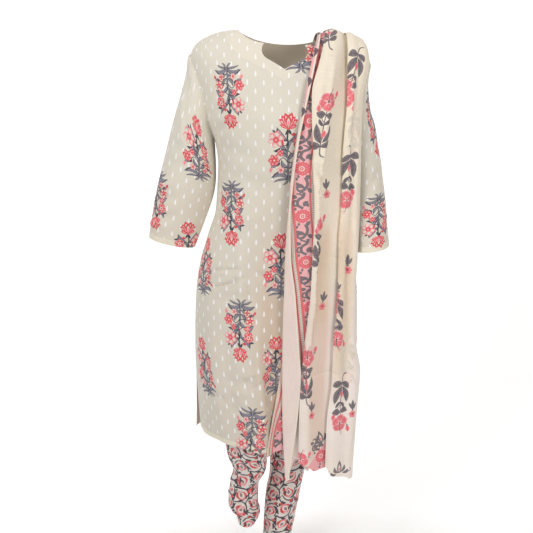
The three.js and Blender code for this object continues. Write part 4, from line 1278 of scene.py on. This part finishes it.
CREAM = (226, 221, 208)
# the kurti ground's low colour is painted shade, darker lower down the kurti
GROUND = {"drops": linear(246, 246, 250), "low": linear(216, 208, 196)}
printed = {"grain": 0.45, "under": linear(*CREAM), "sheen": 0.08}
KURTI_SHADES = shades("kurti", [
    ("ground", CREAM, GROUND), ("reverse", (228, 216, 196), {}),
    ("ink", (66, 64, 78), printed), ("grey", (138, 136, 150), printed), ("coral", (222, 78, 88), printed),
    ("pink", (240, 150, 158), printed), ("plain", CREAM, {}), ("hem", (235, 228, 210), {}),
    ("faced", (232, 225, 211), {"drops": linear(248, 248, 250)}), ("ink_back", (168, 160, 158), {}),
    ("coral_back", (214, 160, 150), {}),
])
HEM, FACED = 7, 8

def kurti_with_painted_shade(name, shade_colour):
    """The kurti's materials, the ground under one more band of painted shade."""
    return [cloth(name, linear(*CREAM), **GROUND, shade_bands=[shade_colour])] + KURTI_SHADES[1:]


# painted warm shade on the front beside the stole, strongest low down
FRONT_SHADES = kurti_with_painted_shade("kurti_front_ground_painted_shade", ((206, 180, 157), 0.03, 0.142, -0.25, -0.85, -1.1))
# painted shade on the sleeves, darker towards the cuffs
SLEEVE_SHADES = kurti_with_painted_shade("kurti_sleeve_ground_painted_shade", ((219, 211, 197), 0.0, 1.6, -0.12, -0.3, -0.7))
# for each material in turn, the number of the one on the cloth's other side
KURTI_BACKS = [1, 1, 9, 9, 10, 10, 1, 1, 1, 9, 10]
WHITE = (232, 224, 218)
printed = {"grain": 0.35, "under": linear(*WHITE), "sheen": 0.08}
TROUSER_SHADES = shades("trouser", [
    ("ground", WHITE, {}), ("reverse", (214, 196, 186), {}), ("ink", (74, 70, 80), printed),
    ("grey", (142, 132, 126), printed), ("coral", (218, 80, 84), printed), ("pink", (232, 142, 148), printed),
    ("plain", WHITE, {}), ("hem", (234, 226, 218), {}), ("ink_back", (150, 142, 142), {}),
    ("coral_back", (206, 140, 136), {}),
])
TROUSER_BACKS = [1, 1, 8, 8, 9, 9, 1, 1, 8, 9]
VOILE = {"sheer": 0.06, "thread": 0.0009, "sheen": 0.1}
BLUSH = (255, 245, 240)
inked = {"sheer": 0.05, "thread": 0.0009, "grain": 0.3, "under": linear(236, 220, 204), "sheen": 0.08}
STOLE_SHADES = shades("stole", [
    # the ground's three upright bands are painted warm shade on the lower stole
    ("ground", (253, 243, 224), {**VOILE, "low": linear(*BLUSH), "shade_bands": [
        ((238, 211, 186), 0.018, 0.036, -0.4, -0.5, -0.64), ((240, 216, 203), 0.02, 0.038, -0.6, -0.78, -1.1),
        ((240, 220, 198), 0.128, 0.03, -0.38, -0.48, -0.74)]}),
    ("reverse", (240, 220, 210), {**VOILE, "low": linear(246, 230, 224)}),
    ("leaf", (134, 126, 132), inked), ("vein", (92, 84, 92), inked), ("coral", (244, 120, 130), inked),
    ("pink", (250, 170, 178), inked), ("pale", (250, 240, 230), inked), ("line", (236, 128, 130), inked),
    ("strip", (252, 244, 234), inked), ("mark", (168, 156, 150), inked), ("band", (255, 196, 200), inked),
    ("edge", (248, 238, 224), {**VOILE, "sheer": 0.05}),
    ("leaf_back", (190, 180, 176), {**VOILE, "sheer": 0.35}),
    ("coral_back", (232, 186, 180), {**VOILE, "sheer": 0.35}),
    ("band_back", (228, 204, 200), {**VOILE, "sheer": 0.3}),
    ("band_both", (255, 190, 194), inked), ("leaf_both", (112, 100, 108), inked),
    ("leaf_under", (238, 230, 216), VOILE), ("coral_under", (252, 232, 220), VOILE),
])
LINE, STRIP, MARK, BAND, EDGE, BAND_BOTH, LEAF_BOTH, LEAF_UNDER, CORAL_UNDER = 7, 8, 9, 10, 11, 15, 16, 17, 18
STOLE_BACKS = [1, 1, 12, 12, 13, 13, 1, 14, 1, 1, 14, 11, 12, 13, 14, 15, 16, 1, 1]


# ---------- making the pieces ----------
def dress(piece, slot, *nodes):
    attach(piece, "root")
    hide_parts(*nodes)


FRONT, BACK = BodyFace(1), BodyFace(-1)
SPRAY = spray()


def hem_band(line, width):
    """A strip of this width above a hem line given as points."""
    line = np.array(line)
    return band(line + (0, -0.5), line + (0, width))


def kurti_prints(face, rows):
    shapes = []
    for x, z, turn, flip_x, flip_y, size in rows:
        shapes += placed(SPRAY, face.locate(x, z), turn, (flip_x * size * 0.94, flip_y * size))
    return shapes


front_line = FRONT.outline(FRONT_HEM["z"], FRONT_SLIT, front_neck())
facing_edge = np.array([(136.5, -9), (131, -27), (118, -47), (96, -64), (68, -77), (38, -91), (0, -111.3)])
facing_edge = np.vstack([facing_edge, (facing_edge[:-1] * (-1, 1))[::-1]])
facing_uv = np.array([FRONT.locate(x, z) for x, z in facing_edge])
neck_uv = np.array([FRONT.locate(x, z) for x, z in front_neck()])
shoulder_bits = [[tuple(np.interp(side * x, FRONT.x, values) for values in (FRONT.u_x, FRONT.top_v))
                  for x in (136.5, 122)] for side in (1, -1)]
facing_line = np.vstack([facing_uv[::-1], shoulder_bits[0], neck_uv, shoulder_bits[1][::-1]])
front_prints = [(FACED, facing_line), (HEM, hem_band(front_line[:HEM_POINTS], HEM_TURN))]
front_prints += kurti_prints(FRONT, [
    # x, z, turn, mirrored, upright, size
    (8, -262, 0, 1, 1, 1.0), (-6, -541, 0, 1, 1, 0.96), (-16, -791, 0, 1, 1, 0.9),
    (-127, -154, 3, -1, -1, 0.88), (-125, -426, 2, 1, -1, 0.94), (-106, -709, -2, 1, -1, 0.92),
    (-78, -970, -4, 1, -1, 0.93), (-196, -560, 0, 1, 1, 0.84), (-198, -813, 6, 1, 1, 0.88),
    (34, -16, 0, 1, 1, 1.0), (118, -400, 0, -1, -1, 1.0), (122, -690, 0, 1, -1, 1.0),
    (118, -950, 0, -1, -1, 1.0), (190, -560, 0, 1, 1, 1.0), (196, -830, 0, -1, 1, 1.0),
])
FRONT_FOLDS = [
    # u and v at both ends, width, rise, swing
    (-205, -572, -92, -553, 4, -5.6, 2), (-200, -612, -88, -570, 4, -6.4, -5),
    (-190, -640, -60, -622, 16, -4.1, 4), (-108, -480, -104, -740, 14, 6.1, 3),
    (-84, -500, -78, -720, 16, -6.8, 3), (-40, -470, -36, -700, 26, -5.4, 0),
    (-168, -830, -66, -818, 8, -4.7, -8), (-104, -826, -62, -802, 5.8, 6.9, 4),
    (-60, -800, -56, -990, 7, 4.7, 0), (-150, -860, -80, -846, 9, 3.4, -7),
    (-30, -640, -24, -960, 15, -6.8, 0), (14, -600, 20, -960, 18, 5.4, 4),
    (60, -560, 66, -1000, 22, -6.8, 0), (110, -600, 108, -1000, 20, 6.8, 3),
    (160, -640, 158, -1000, 22, -5.4, 0), (-186, -240, -120, -214, 8, -5.4, 5),
    (-184, -206, -128, -168, 7, -4.7, 6), (-176, -270, -60, -290, 16, -4.1, 6),
    (-150, -330, -20, -372, 20, -4.1, 8), (-160, -410, -40, -428, 18, 3.4, -6),
    (30, -330, 130, -360, 20, -4.1, 6), (-120, -60, -96, -190, 14, 3.4, 4),
    (-70, -130, -40, -340, 24, 3.4, 8), (-150, -700, -148, -985, 20, -4.7, 6),
    (-190, -700, -184, -980, 15, 4.1, -4), (60, -150, 74, -320, 22, 4.1, 5),
    (160, -230, 100, -200, 9, -5.4, -5), (-72, -690, -62, -1010, 9, 5.0, 0),
    (-48, -690, -42, -1000, 12, -6.0, 0), (-104, -856, -52, -828, 4, -5.4, 3),
    (-205, -868, -156, -886, 5.8, -5.1, -3), (-152, -908, -98, -892, 6.6, -4.8, 3),
    (-196, -596, -120, -548, 5.8, 4.2, 3), (-66, -560, -34, -590, 5.8, -4.2, 3),
]
net = fill(front_line, front_prints, 9, FRONT_FOLDS)
kurti_front = make_cloth("kurti_front", net, FRONT.place, FRONT_SHADES, KURTI_BACKS, THICK["cotton"],
                         FRONT_FOLDS)
dress(kurti_front, "kurti_cotton", "kurti_front")

back_line = BACK.outline(BACK_HEM["z"], BACK_SLIT, back_neck())
back_prints = [(HEM, hem_band(back_line[:HEM_POINTS], HEM_TURN))] + kurti_prints(BACK, [
    (0, -250, 0, 1, -1, 1.0), (4, -520, 0, -1, -1, 1.0), (0, -790, 0, 1, -1, 1.0), (-2, -1010, 0, 1, 1, 1.0),
    (-118, -115, 0, 1, 1, 1.0), (-116, -385, 0, 1, 1, 1.0), (-124, -655, 0, -1, 1, 1.0),
    (-122, -925, 0, 1, 1, 1.0), (116, -115, 0, -1, 1, 1.0), (112, -385, 0, 1, 1, 1.0),
    (122, -655, 0, 1, 1, 1.0), (118, -925, 0, -1, 1, 1.0), (-204, -520, 0, 1, -1, 1.0),
    (-210, -790, 0, 1, -1, 1.0), (190, -520, 0, 1, -1, 1.0), (196, -790, 0, -1, -1, 1.0),
])
BACK_FOLDS = [
    (-120, -330, 110, -352, 16, -3.5, 8), (-100, -390, 120, -372, 14, 3, -7),
    (-90, -440, 90, -452, 20, -3, 6), (-150, -620, -146, -1000, 20, 4.5, 4),
    (-98, -560, -92, -1010, 22, -5, 0), (-40, -600, -38, -1020, 24, 4, 3),
    (22, -560, 26, -1020, 22, -4.5, 0), (84, -600, 82, -1010, 22, 4.5, -3),
    (146, -620, 142, -1000, 20, -4, 0), (-196, -660, -190, -1000, 16, -4, 0),
    (190, -660, 186, -1000, 16, 4, 0), (-150, -90, -120, -250, 16, 3, 4), (130, -90, 110, -250, 16, -3, 4),
    (-30, -110, -20, -300, 22, 2.5, 4), (-170, -240, -110, -215, 9, -4, 5),
    (165, -240, 105, -215, 9, -4, -5),
]
net = fill(back_line, back_prints, 10, BACK_FOLDS)
kurti_back = make_cloth("kurti_back", net, BACK.place, KURTI_SHADES, KURTI_BACKS, THICK["cotton"], BACK_FOLDS,
                        flip=True)
dress(kurti_back, "kurti_cotton", "kurti_back")


def beneath(place, depth):
    """The same surface, this far to the cloth's inner side."""
    def at(uv):
        points = place(uv)
        across = place(uv + (1, 0)) - place(uv - (1, 0))
        up = points - place(uv - (0, 1))
        normal = np.cross(across, up)
        return points - normal / np.maximum(np.linalg.norm(normal, axis=1), 1e-9)[:, None] * depth
    return at


net = fill(facing_line, [], 7)
facing = make_cloth("neck_facing", net, beneath(FRONT.place, 1.5), KURTI_SHADES, KURTI_BACKS, THICK["facing"],
                    FRONT_FOLDS)
dress(facing, "kurti_cotton", "kurti_neck_facing")


# ---------- sleeves ----------
def on(surface):
    return lambda uv: surface.at(uv[:, 1], uv[:, 0])


def make_sleeve(name, side, sections, marks, folds):
    surface = sleeve_surface(side, sections)
    line = tube_outline(surface, 7)
    low = surface.rows[0]
    prints = [(HEM, box(-400, low - 1, 400, low + 14))]
    for x, z, front, turn, flip_x, flip_y in marks:
        prints += placed(SPRAY, nearest(surface, x, z, front), turn, (flip_x, flip_y))
    net = fill(line, prints, 8, folds)
    sleeve = make_cloth(name, net, on(surface), SLEEVE_SHADES, KURTI_BACKS, THICK["cotton"], folds)
    dress(sleeve, "kurti_cotton", name)
    return surface


SLEEVES = [
    make_sleeve("sleeve_right", -1, RIGHT_SLEEVE, [
        # x, z, front, turn, mirrored, upright
        (-203, -277, True, 6, 0.95, 0.84), (-312, -404, True, 8, 0.9, -0.8),
        (-237, -520, True, 6, -0.9, 0.85), (-230, -220, False, -6, 1, 1), (-280, -400, False, -6, -1, 1),
    ], [
        (20, -268, 92, -240, 8, -5, 5), (12, -240, 80, -212, 7, 4, 5), (6, -300, 96, -282, 9, -5, -6),
        (-6, -330, 70, -318, 8, 4, 5), (40, -180, 100, -150, 8, -4, -5), (30, -128, 95, -118, 9, 4, 4),
        (10, -60, 60, -150, 14, -4, 6), (30, -40, 90, -120, 12, 4, -5), (-60, -250, -10, -282, 9, -5, 4),
        (-90, -300, -20, -310, 9, 4, 4), (-80, -120, -30, -200, 12, -4, 5), (10, -350, 60, -420, 12, -3, 5),
        (30, -20, 70, -60, 10, -3, 3),
    ]),
    make_sleeve("sleeve_left", 1, LEFT_SLEEVE, [
        (213, -206, True, -3, -0.9, -0.78), (226, -444, True, -4, 0.9, -0.76), (206, -330, False, -6, 1, 1),
        (196, -470, False, -6, 1, -1), (200, -180, False, -6, -1, 1),
    ], [
        (-90, -250, -20, -276, 8, -5, 5), (-86, -285, -12, -296, 8, 4, 5), (-80, -210, -30, -190, 8, -4, 4),
        (-60, -120, -20, -200, 12, 4, 5), (20, -260, 90, -240, 9, -5, 5), (24, -310, 80, -300, 9, 4, 4),
        (-40, -350, -30, -430, 14, -3, 4), (40, -120, 80, -200, 12, 3, 5),
    ]),
]


# ---------- waistband and trousers ----------
surface = waist_surface()
line = tube_outline(surface, 7)
waistband = make_cloth("waistband", fill(line, [], 7), on(surface), TROUSER_SHADES, TROUSER_BACKS,
                       THICK["waistband"], leans=False)
dress(waistband, "trouser_cotton", "waistband")

TILE = trellis_tile()
COVERED_FROM = -580           # above this height the kurti covers the legs, and the print is simpler
BARE_TILE = TILE[:34]         # its four flowers and ten stems, without leaves and buds
LEG_FOLDS = {
    ("right", -1): [
        (-10, -1128, 70, -1150, 6, -4, 6), (-10, -1150, 80, -1168, 6, 4, 5),
        (10, -1176, 96, -1160, 6, -4.5, -6), (-10, -1196, 60, -1206, 6, 4, 5),
        (20, -1212, 96, -1196, 6, -4, -6), (-10, -1226, 70, -1240, 6, -4, 5),
        (20, -1250, 90, -1240, 6, 3.5, -4), (60, -1040, 64, -1130, 12, -4, 3),
        (30, -1040, 28, -1120, 12, 3, -3),
    ],
    ("left", -1): [
        (-80, -1090, -10, -1130, 8, -4, 5), (-86, -1150, -4, -1136, 7, 3.5, -5),
        (-80, -1200, -10, -1180, 7, -4, 5), (-70, -1250, -6, -1262, 7, 3.5, 4),
        (-60, -1310, -10, -1290, 7, -3.5, 4),
    ],
    ("right", 1): [(0, -1150, 80, -1170, 7, -4, 5), (10, -1196, 90, -1184, 7, 4, -5),
                   (0, -1226, 80, -1240, 7, -4, 5)],
    ("left", 1): [(-80, -1190, -10, -1210, 7, -4, 5), (-80, -1240, -6, -1226, 7, 4, -5),
                  (-70, -1300, -6, -1290, 7, -4, 5)],
}
PANELS = []
for (leg, face), folds in LEG_FOLDS.items():
    surface = leg_surface(leg, face)
    line = tube_outline(surface, 7)
    low, high = line.min(0), line.max(0)
    prints = []
    for row in range(int(low[1] // TILE_HIGH), int(high[1] // TILE_HIGH) + 2):
        for column in range(int(low[0] // TILE_WIDE) - 1, int(high[0] // TILE_WIDE) + 2):
            middle = np.array([column * TILE_WIDE + (HALF_TILE[0] if row % 2 else 0), row * TILE_HIGH], float)
            if (middle + HALF_TILE > low).all() and (middle - HALF_TILE < high).all():
                tile = BARE_TILE if middle[1] > COVERED_FROM else TILE
                prints += placed(tile, middle, 0, (1, 1 if row % 2 else -1))
    prints = [(colour, shape) for colour, shape in prints
              if (shape.max(0) > low).all() and (shape.min(0) < high).all()]
    name = f"trouser_{leg}_{'front' if face < 0 else 'back'}"
    panel = make_cloth(name, fill(line, prints, 9, folds), on(surface), TROUSER_SHADES, TROUSER_BACKS,
                       THICK["cotton"], folds, leans=False, flip=face > 0)
    dress(panel, "trouser_cotton", name)
    PANELS.append(surface)


# ---------- the stole and its prints ----------
SPRIG, BUDS, CREST_PRINT, VINE = sprig(), bud_sprig(), crest(), vine_repeat()


def stripes(at, low, high, scroll_start):
    """The border's lines, hatched strips and scroll band between two heights."""
    shapes = []
    levels = np.arange(low, high + 1, 24.0)
    colours = {"line": LINE, "hatch": STRIP, "band": BAND}
    for start, end, kind in STRIPES:
        edges = [np.array([(at(aside, v), v) for v in levels]) for aside in (start, end)]
        shapes.append((colours[kind], band(*edges)))
    for start, end, kind in STRIPES:
        if kind == "hatch":
            for v in np.arange(low + 4, min(high, 160) - 6, 5.2):
                left, right = at(start, v), at(end, v)
                shapes.append((MARK,
                               np.array([(left, v), (right, v + 3.4), (right, v + 5.0), (left, v + 1.6)])))
    for v in np.arange(low + scroll_start, min(high, 200) - 40, 110):
        tilt = math.degrees(math.atan2(at(36, v - 20) - at(36, v + 20), 40))
        shapes += placed(VINE, (at(36.5, v), v), tilt, (1.15, 1.0))
    return shapes


def on_pane(drawing, rows, pane):
    shapes = []
    for x, z, turn, flip_x, flip_y, size in rows:
        shapes += placed(drawing, (stole_u(x, z, *pane), z), turn, (flip_x * size, flip_y * size))
    return shapes


def along_stole(inner, outer, low, high):
    """A strip of the stole between two lines, each a control's number and a distance from it."""
    levels = np.arange(low, high + 1, 30.0)
    edges = [np.array([(control_u(c, v) + aside, v) for v in levels]) for c, aside in (inner, outer)]
    return band(*edges)


stole_line = stole_outline()
last = len(CONTROLS) - 1
ends = (-1130, BACK_START + 900)
stole_prints = [(BAND_BOTH, along_stole((0, 4), (1, 3), -240, 140))]
stole_prints += stripes(border_u, -860, ends[1], 110)
stole_prints += [(EDGE, along_stole((0, -1), (0, 4), *ends)),
                 (EDGE, along_stole((last, -4), (last, 1), *ends))]
for k, v in enumerate(range(-215, 130, 34)):
    u = control_u(0, v) + 12
    stole_prints += [(LEAF_BOTH, leaf((u - 6, v - 12), (u + 7, v + 13), 9, 0.3 if k % 2 else -0.3)),
                     (CORAL, oval(u + 4, v - 14, 5, 6))]
# prints of the layer beneath, faint through the voile
faint = [({LEAF: LEAF_UNDER, CORAL: CORAL_UNDER}[colour], shape) for colour, shape in SPRIG
         if colour in (LEAF, CORAL)]
stole_prints += on_pane(faint, [(160, -255, 0, 1, -1, 0.95), (160, -800, 0, 1, -1, 0.9)], PANE_TWO)
stole_prints += on_pane(SPRIG, [
    (92, -190, 0, 1, 1, 1.05), (58, -800, 4, 1, 1, 1.05), (45, -1073, 0, 1, 1, 1.0),
    (76, -470, 0, 1, 1, 0.95),
], PANE_ONE)
stole_prints += on_pane(SPRIG, [
    (152, -112, -11, 1, -1, 1.05), (146, -350, 4, -1, -1, 1.05), (130, -690, 0, 1, -1, 1.0),
    (146, -912, -6, 1, -1, 1.1),
], PANE_TWO)
stole_prints += placed(SPRIG, (stole_u(104, 0, *PANE_ONE), 47))
stole_prints += on_pane(hibiscus(0, 0, 17, 20), [(138, -118, 0, 1, 1, 1.0), (118, -640, 0, 1, 1, 1.0)],
                        PANE_TWO)
stole_prints += on_pane(BUDS, [(98, -355, 10, 1, 1, 1.1), (96, -625, -8, 1, 1, 1.1),
                               (72, -905, 0, 1, 1, 1.1)], PANE_ONE)
stole_prints += on_pane(BUDS, [
    (154, -538, 0, 1, 1, 1.1), (130, -600, 0, 1, 1, 1.1), (176, -915, 0, 1, 1, 1.1),
], PANE_TWO)
# the end border shows in the trough between the panes
trough = [(stole_u(x, z, *VALLEY), z) for x, z in ((52, -1062), (80, -1036), (112, -1006))]
below = [(u, -1130.0) for u, _ in trough]
stole_prints += [(EDGE, band(np.array(trough) + (0, 5), np.array(trough))),
                 (BAND_BOTH, band(np.array(trough), below))]
for aside, colour in ((6, CORAL), (14, PALE), (22, CORAL)):
    u, v = trough[0][0] + aside, trough[0][1]
    stole_prints.append((colour, box(u, v - 40, u + 4, v - 8)))
stole_prints += placed(VINE, (stole_u(98, -1042, *VALLEY), -1042), 20, (1.1, 1.1))
stole_prints += on_pane(CREST_PRINT, [(98, -996, 20, 1, 1, 1.1)], VALLEY)
stole_prints += on_pane(CREST_PRINT, [(146, -1083, 0, 1, 1, 1.1)], PANE_TWO)
behind = BACK_START - STOLE_TOP
for k, v in enumerate(np.arange(behind + 90.0, behind + 780, 190)):
    for j, control in enumerate((11, 21)):
        flips = (1 if (j + k) % 2 else -1, -1 if k % 2 else 1)
        stole_prints += placed(SPRIG, (control_u(control, v), v + (75 if j % 2 else 0)), 0, flips)


def stole_crease(v, slope, rise):
    left, right = control_u(0, v), control_u(last, v)
    return (left, v, right, v + slope, 3.0, rise, 5)


stole_folds = []
for control, aside, width, rise, low, high in [
    (11, -8, 7, -4.2, -1000, -90), (11, 10, 6, 4.2, -760, -40), (12, 4, 6, -4.0, -960, -260),
    (21, -6, 7, -4.4, -1040, -90), (21, 9, 7, 4.4, -900, -60), (22, 0, 8, -5.0, -1060, -180),
    (23, -4, 7, 4.0, -1000, -360), (4, 6, 7, -1.6, -1000, -300), (10, 3, 6, 3.6, -620, -30),
    (12, -6, 6, 4.0, -700, -30), (20, 5, 6, 3.4, -560, -40), (23, 5, 6, -3.4, -640, -110),
    (0, 12, 6, 1.6, -1060, -560), (11, 0, 7, -2.6, 240, 980), (21, -6, 7, -2.8, 240, 980),
    (22, 0, 8, 3.0, 240, 980),
]:
    u, w = control_u(control, low) + aside, control_u(control, high) + aside
    stole_folds.append((u, low, w, high, width, rise, 0))
stole_folds += [stole_crease(-822, 6, -2.2), stole_crease(-524, -5, -1.6), stole_crease(-300, 5, 1.2)]
levels = np.arange(-1126, BACK_START + 900, 11.0)
ridges = [np.array([(control_u(c, v), v) for v in levels])
          for c in (1, 2, 3, 5, 6, 7, 8, 9, 10, 15, 16, 17, 18, 19, 20, 24, 25, 26)]
net = fill(stole_line, stole_prints, 10, stole_folds, ridges)
stole = make_cloth("stole", net, on(STOLE), STOLE_SHADES, STOLE_BACKS, THICK["voile"], stole_folds)
dress(stole, "stole_sheer", "stole_front", "stole_shoulder", "stole_back")

surface = corner_surface()
line = tube_outline(surface, 7)
corner_prints = stripes(lambda aside, v: 8.0 + aside, surface.rows[0] - 2, surface.rows[-1] + 2, 70)
corner = make_cloth("stole_corner", fill(line, corner_prints, 7), on(surface), STOLE_SHADES, STOLE_BACKS,
                    THICK["voile"], leans=False)
dress(corner, "stole_sheer", "stole_corner")


# ---------- stitching ----------
STITCH_PITCH, STITCH_LENGTH = 4.2, 2.7


def inset(line, distance):
    """The line moved sideways, to its left."""
    way = np.gradient(np.asarray(line, float), axis=0)
    way /= np.maximum(np.linalg.norm(way, axis=1), 1e-9)[:, None]
    return line + np.stack([-way[:, 1], way[:, 0]], 1) * distance


def dashes(line):
    """Both ends of every stitch along a line on the cloth."""
    run = arc_length(line)
    middle = np.arange(STITCH_PITCH, run[-1] - STITCH_PITCH, STITCH_PITCH)
    return [np.stack([np.interp(middle + side * STITCH_LENGTH / 2, run, line[:, c]) for c in (0, 1)], 1)
            for side in (-1, 1)]


def stitching(name, colour, rows):
    """Every stitch as a small closed spindle lying on its cloth."""
    verts, faces = [], []
    for place, folds, leans, flip, line in rows:
        start, end = dashes(np.asarray(line, float))
        middle = (start + end) / 2
        a, b, c = place(start), place(end), place(middle)
        along = b - a
        sideways, upward = (place(middle + step) - place(middle - np.array(step))
                            for step in ((0.8, 0), (0, 0.8)))
        normal = np.cross(sideways, upward)
        normal /= np.maximum(np.linalg.norm(normal, axis=1), 1e-9)[:, None]
        normal *= -1 if flip else 1
        across = np.cross(normal, along)
        across /= np.maximum(np.linalg.norm(across, axis=1), 1e-9)[:, None]
        lift = normal * fold_height(middle, folds)[:, None]
        corners = np.stack([a + lift, c + across * 0.45 + lift, b + lift, c - across * 0.45 + lift,
                            c + normal * 0.4 + lift, c - normal * 0.3 + lift], 1).reshape(-1, 3)
        corners = lean(corners) if leans else corners
        base = len(verts)
        verts += [tuple(v / 1000) for v in corners]
        for k in range(base, base + len(corners), 6):
            for i in range(4):
                j = (i + 1) % 4
                faces += [(k + j, k + i, k + 4), (k + i, k + j, k + 5)]
    mesh = bpy.data.meshes.new(name)
    mesh.from_pydata(verts, [], faces)
    mesh.materials.append(plain_paint(name + "_thread", linear(*colour), 0.6)[0])
    piece = add_object(name, mesh)
    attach(piece, "root")


def round_hem(surface, height):
    """A line round a sleeve or across a leg panel, this far above its hem."""
    v = surface.rows[0] + height
    return [(np.interp(v, surface.rows, along), v) for along in surface.along.T[1:-1]]


back_neck_uv = np.array([BACK.locate(x, z) for x, z in back_neck()])
seams = []
for face, line, folds, slit, hem, neck in (
        (FRONT, front_line, FRONT_FOLDS, FRONT_SLIT, FRONT_HEM["z"], neck_uv),
        (BACK, back_line, BACK_FOLDS, BACK_SLIT, BACK_HEM["z"], back_neck_uv)):
    flip = face is BACK
    seams.append((face.place, folds, True, flip, line[1:HEM_POINTS - 1] + (0, 11.5)))
    seams.append((face.place, folds, True, flip, inset(neck, -3.5)[1:-1]))
    for side in (1, -1):
        slit_line = np.array([p for p in face.side_line(side, hem, slit) if p[1] < SLIT_TOP])
        seams.append((face.place, folds, True, flip, slit_line - (side * 9, 0)))
seams.append((FRONT.place, FRONT_FOLDS, True, False, inset(facing_uv, 2.5)[1:-1]))
seams += [(on(surface), (), True, False, round_hem(surface, 11)) for surface in SLEEVES]
stitching("kurti_stitching", (214, 204, 182), seams)
seams = [(on(surface), folds, False, face > 0, round_hem(surface, 16))
         for surface, ((_, face), folds) in zip(PANELS, LEG_FOLDS.items())]
stitching("trouser_stitching", (196, 186, 180), seams)


# ---------- stage ----------
FLOOR, BEND = -1.47, 1.2      # the floor's height and the radius of its curve, in metres


def sweep():
    """A pale floor that curves up behind into a wall."""
    profile = [(-4.0, FLOOR), (1.0, FLOOR)]
    for k in range(1, 10):
        turn = math.pi / 2 * k / 10
        profile.append((1.0 + BEND * math.sin(turn), FLOOR + BEND - BEND * math.cos(turn)))
    profile += [(1.0 + BEND, FLOOR + BEND), (1.0 + BEND, 3.0)]
    verts = [(x, y, z) for y, z in profile for x in (-5.0, 5.0)]
    faces = [(2 * k, 2 * k + 1, 2 * k + 3, 2 * k + 2) for k in range(len(profile) - 1)]
    mesh = bpy.data.meshes.new("backdrop")
    mesh.from_pydata(verts, [], faces)
    mesh.shade_smooth()
    paint, shader = plain_paint("backdrop_paint", (0.9, 0.9, 0.9, 1), 0.9)
    shader.inputs["Emission Color"].default_value = (1, 1, 1, 1)
    tree = paint.node_tree
    place = tree.nodes.new("ShaderNodeTexCoord")
    parts = tree.nodes.new("ShaderNodeSeparateXYZ")
    glow = tree.nodes.new("ShaderNodeMapRange")
    for number, value in ((1, -0.1), (2, 0.25), (3, 0.0), (4, 0.4)):
        glow.inputs[number].default_value = value
    tree.links.new(place.outputs["Object"], parts.inputs[0])
    tree.links.new(parts.outputs[1], glow.inputs[0])
    tree.links.new(glow.outputs[0], shader.inputs["Emission Strength"])
    mesh.materials.append(paint)
    add_object("backdrop", mesh)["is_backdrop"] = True


def area_light(name, place, aim, size, power, colour):
    light = bpy.data.lights.new(name, "AREA")
    light.shape = "DISK"
    light.size = size
    light.energy = power
    light.color = colour
    lamp = add_object(name, light)
    lamp.location = place
    way = np.array(aim, float) - np.array(place, float)
    lamp.rotation_euler = (math.acos(-way[2] / np.linalg.norm(way)), 0,
                           math.atan2(way[1], way[0]) - math.pi / 2)


sweep()
area_light("key", (-1.9, -2.1, 1.7), (0, 0, 0.0), 1.5, 57, (1.0, 0.985, 0.96))
area_light("fill", (1.7, -2.3, 0.3), (0.1, 0, -0.4), 1.4, 27, (1.0, 0.94, 0.89))
area_light("top", (0.3, -0.6, 2.2), (0, 0, -0.2), 1.6, 11, (1.0, 0.98, 0.96))
world = bpy.data.worlds.new("studio")
world.use_nodes = True
world.node_tree.nodes["Background"].inputs["Color"].default_value = (0.98, 0.96, 0.94, 1)
world.node_tree.nodes["Background"].inputs["Strength"].default_value = 0.28
scene = bpy.context.scene
scene.world = world
scene.view_settings.view_transform = "Standard"
camera_data = bpy.data.cameras.new("camera")
camera_data.lens = 46.6
camera = add_object("camera", camera_data)
camera.location = (-0.0409, -1.72, -0.118)
camera.rotation_euler = (math.radians(75), 0, 0)
scene.camera = camera

lines = [[[float(v) for v in corner] for corner in box] for box in (cad_box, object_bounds())]
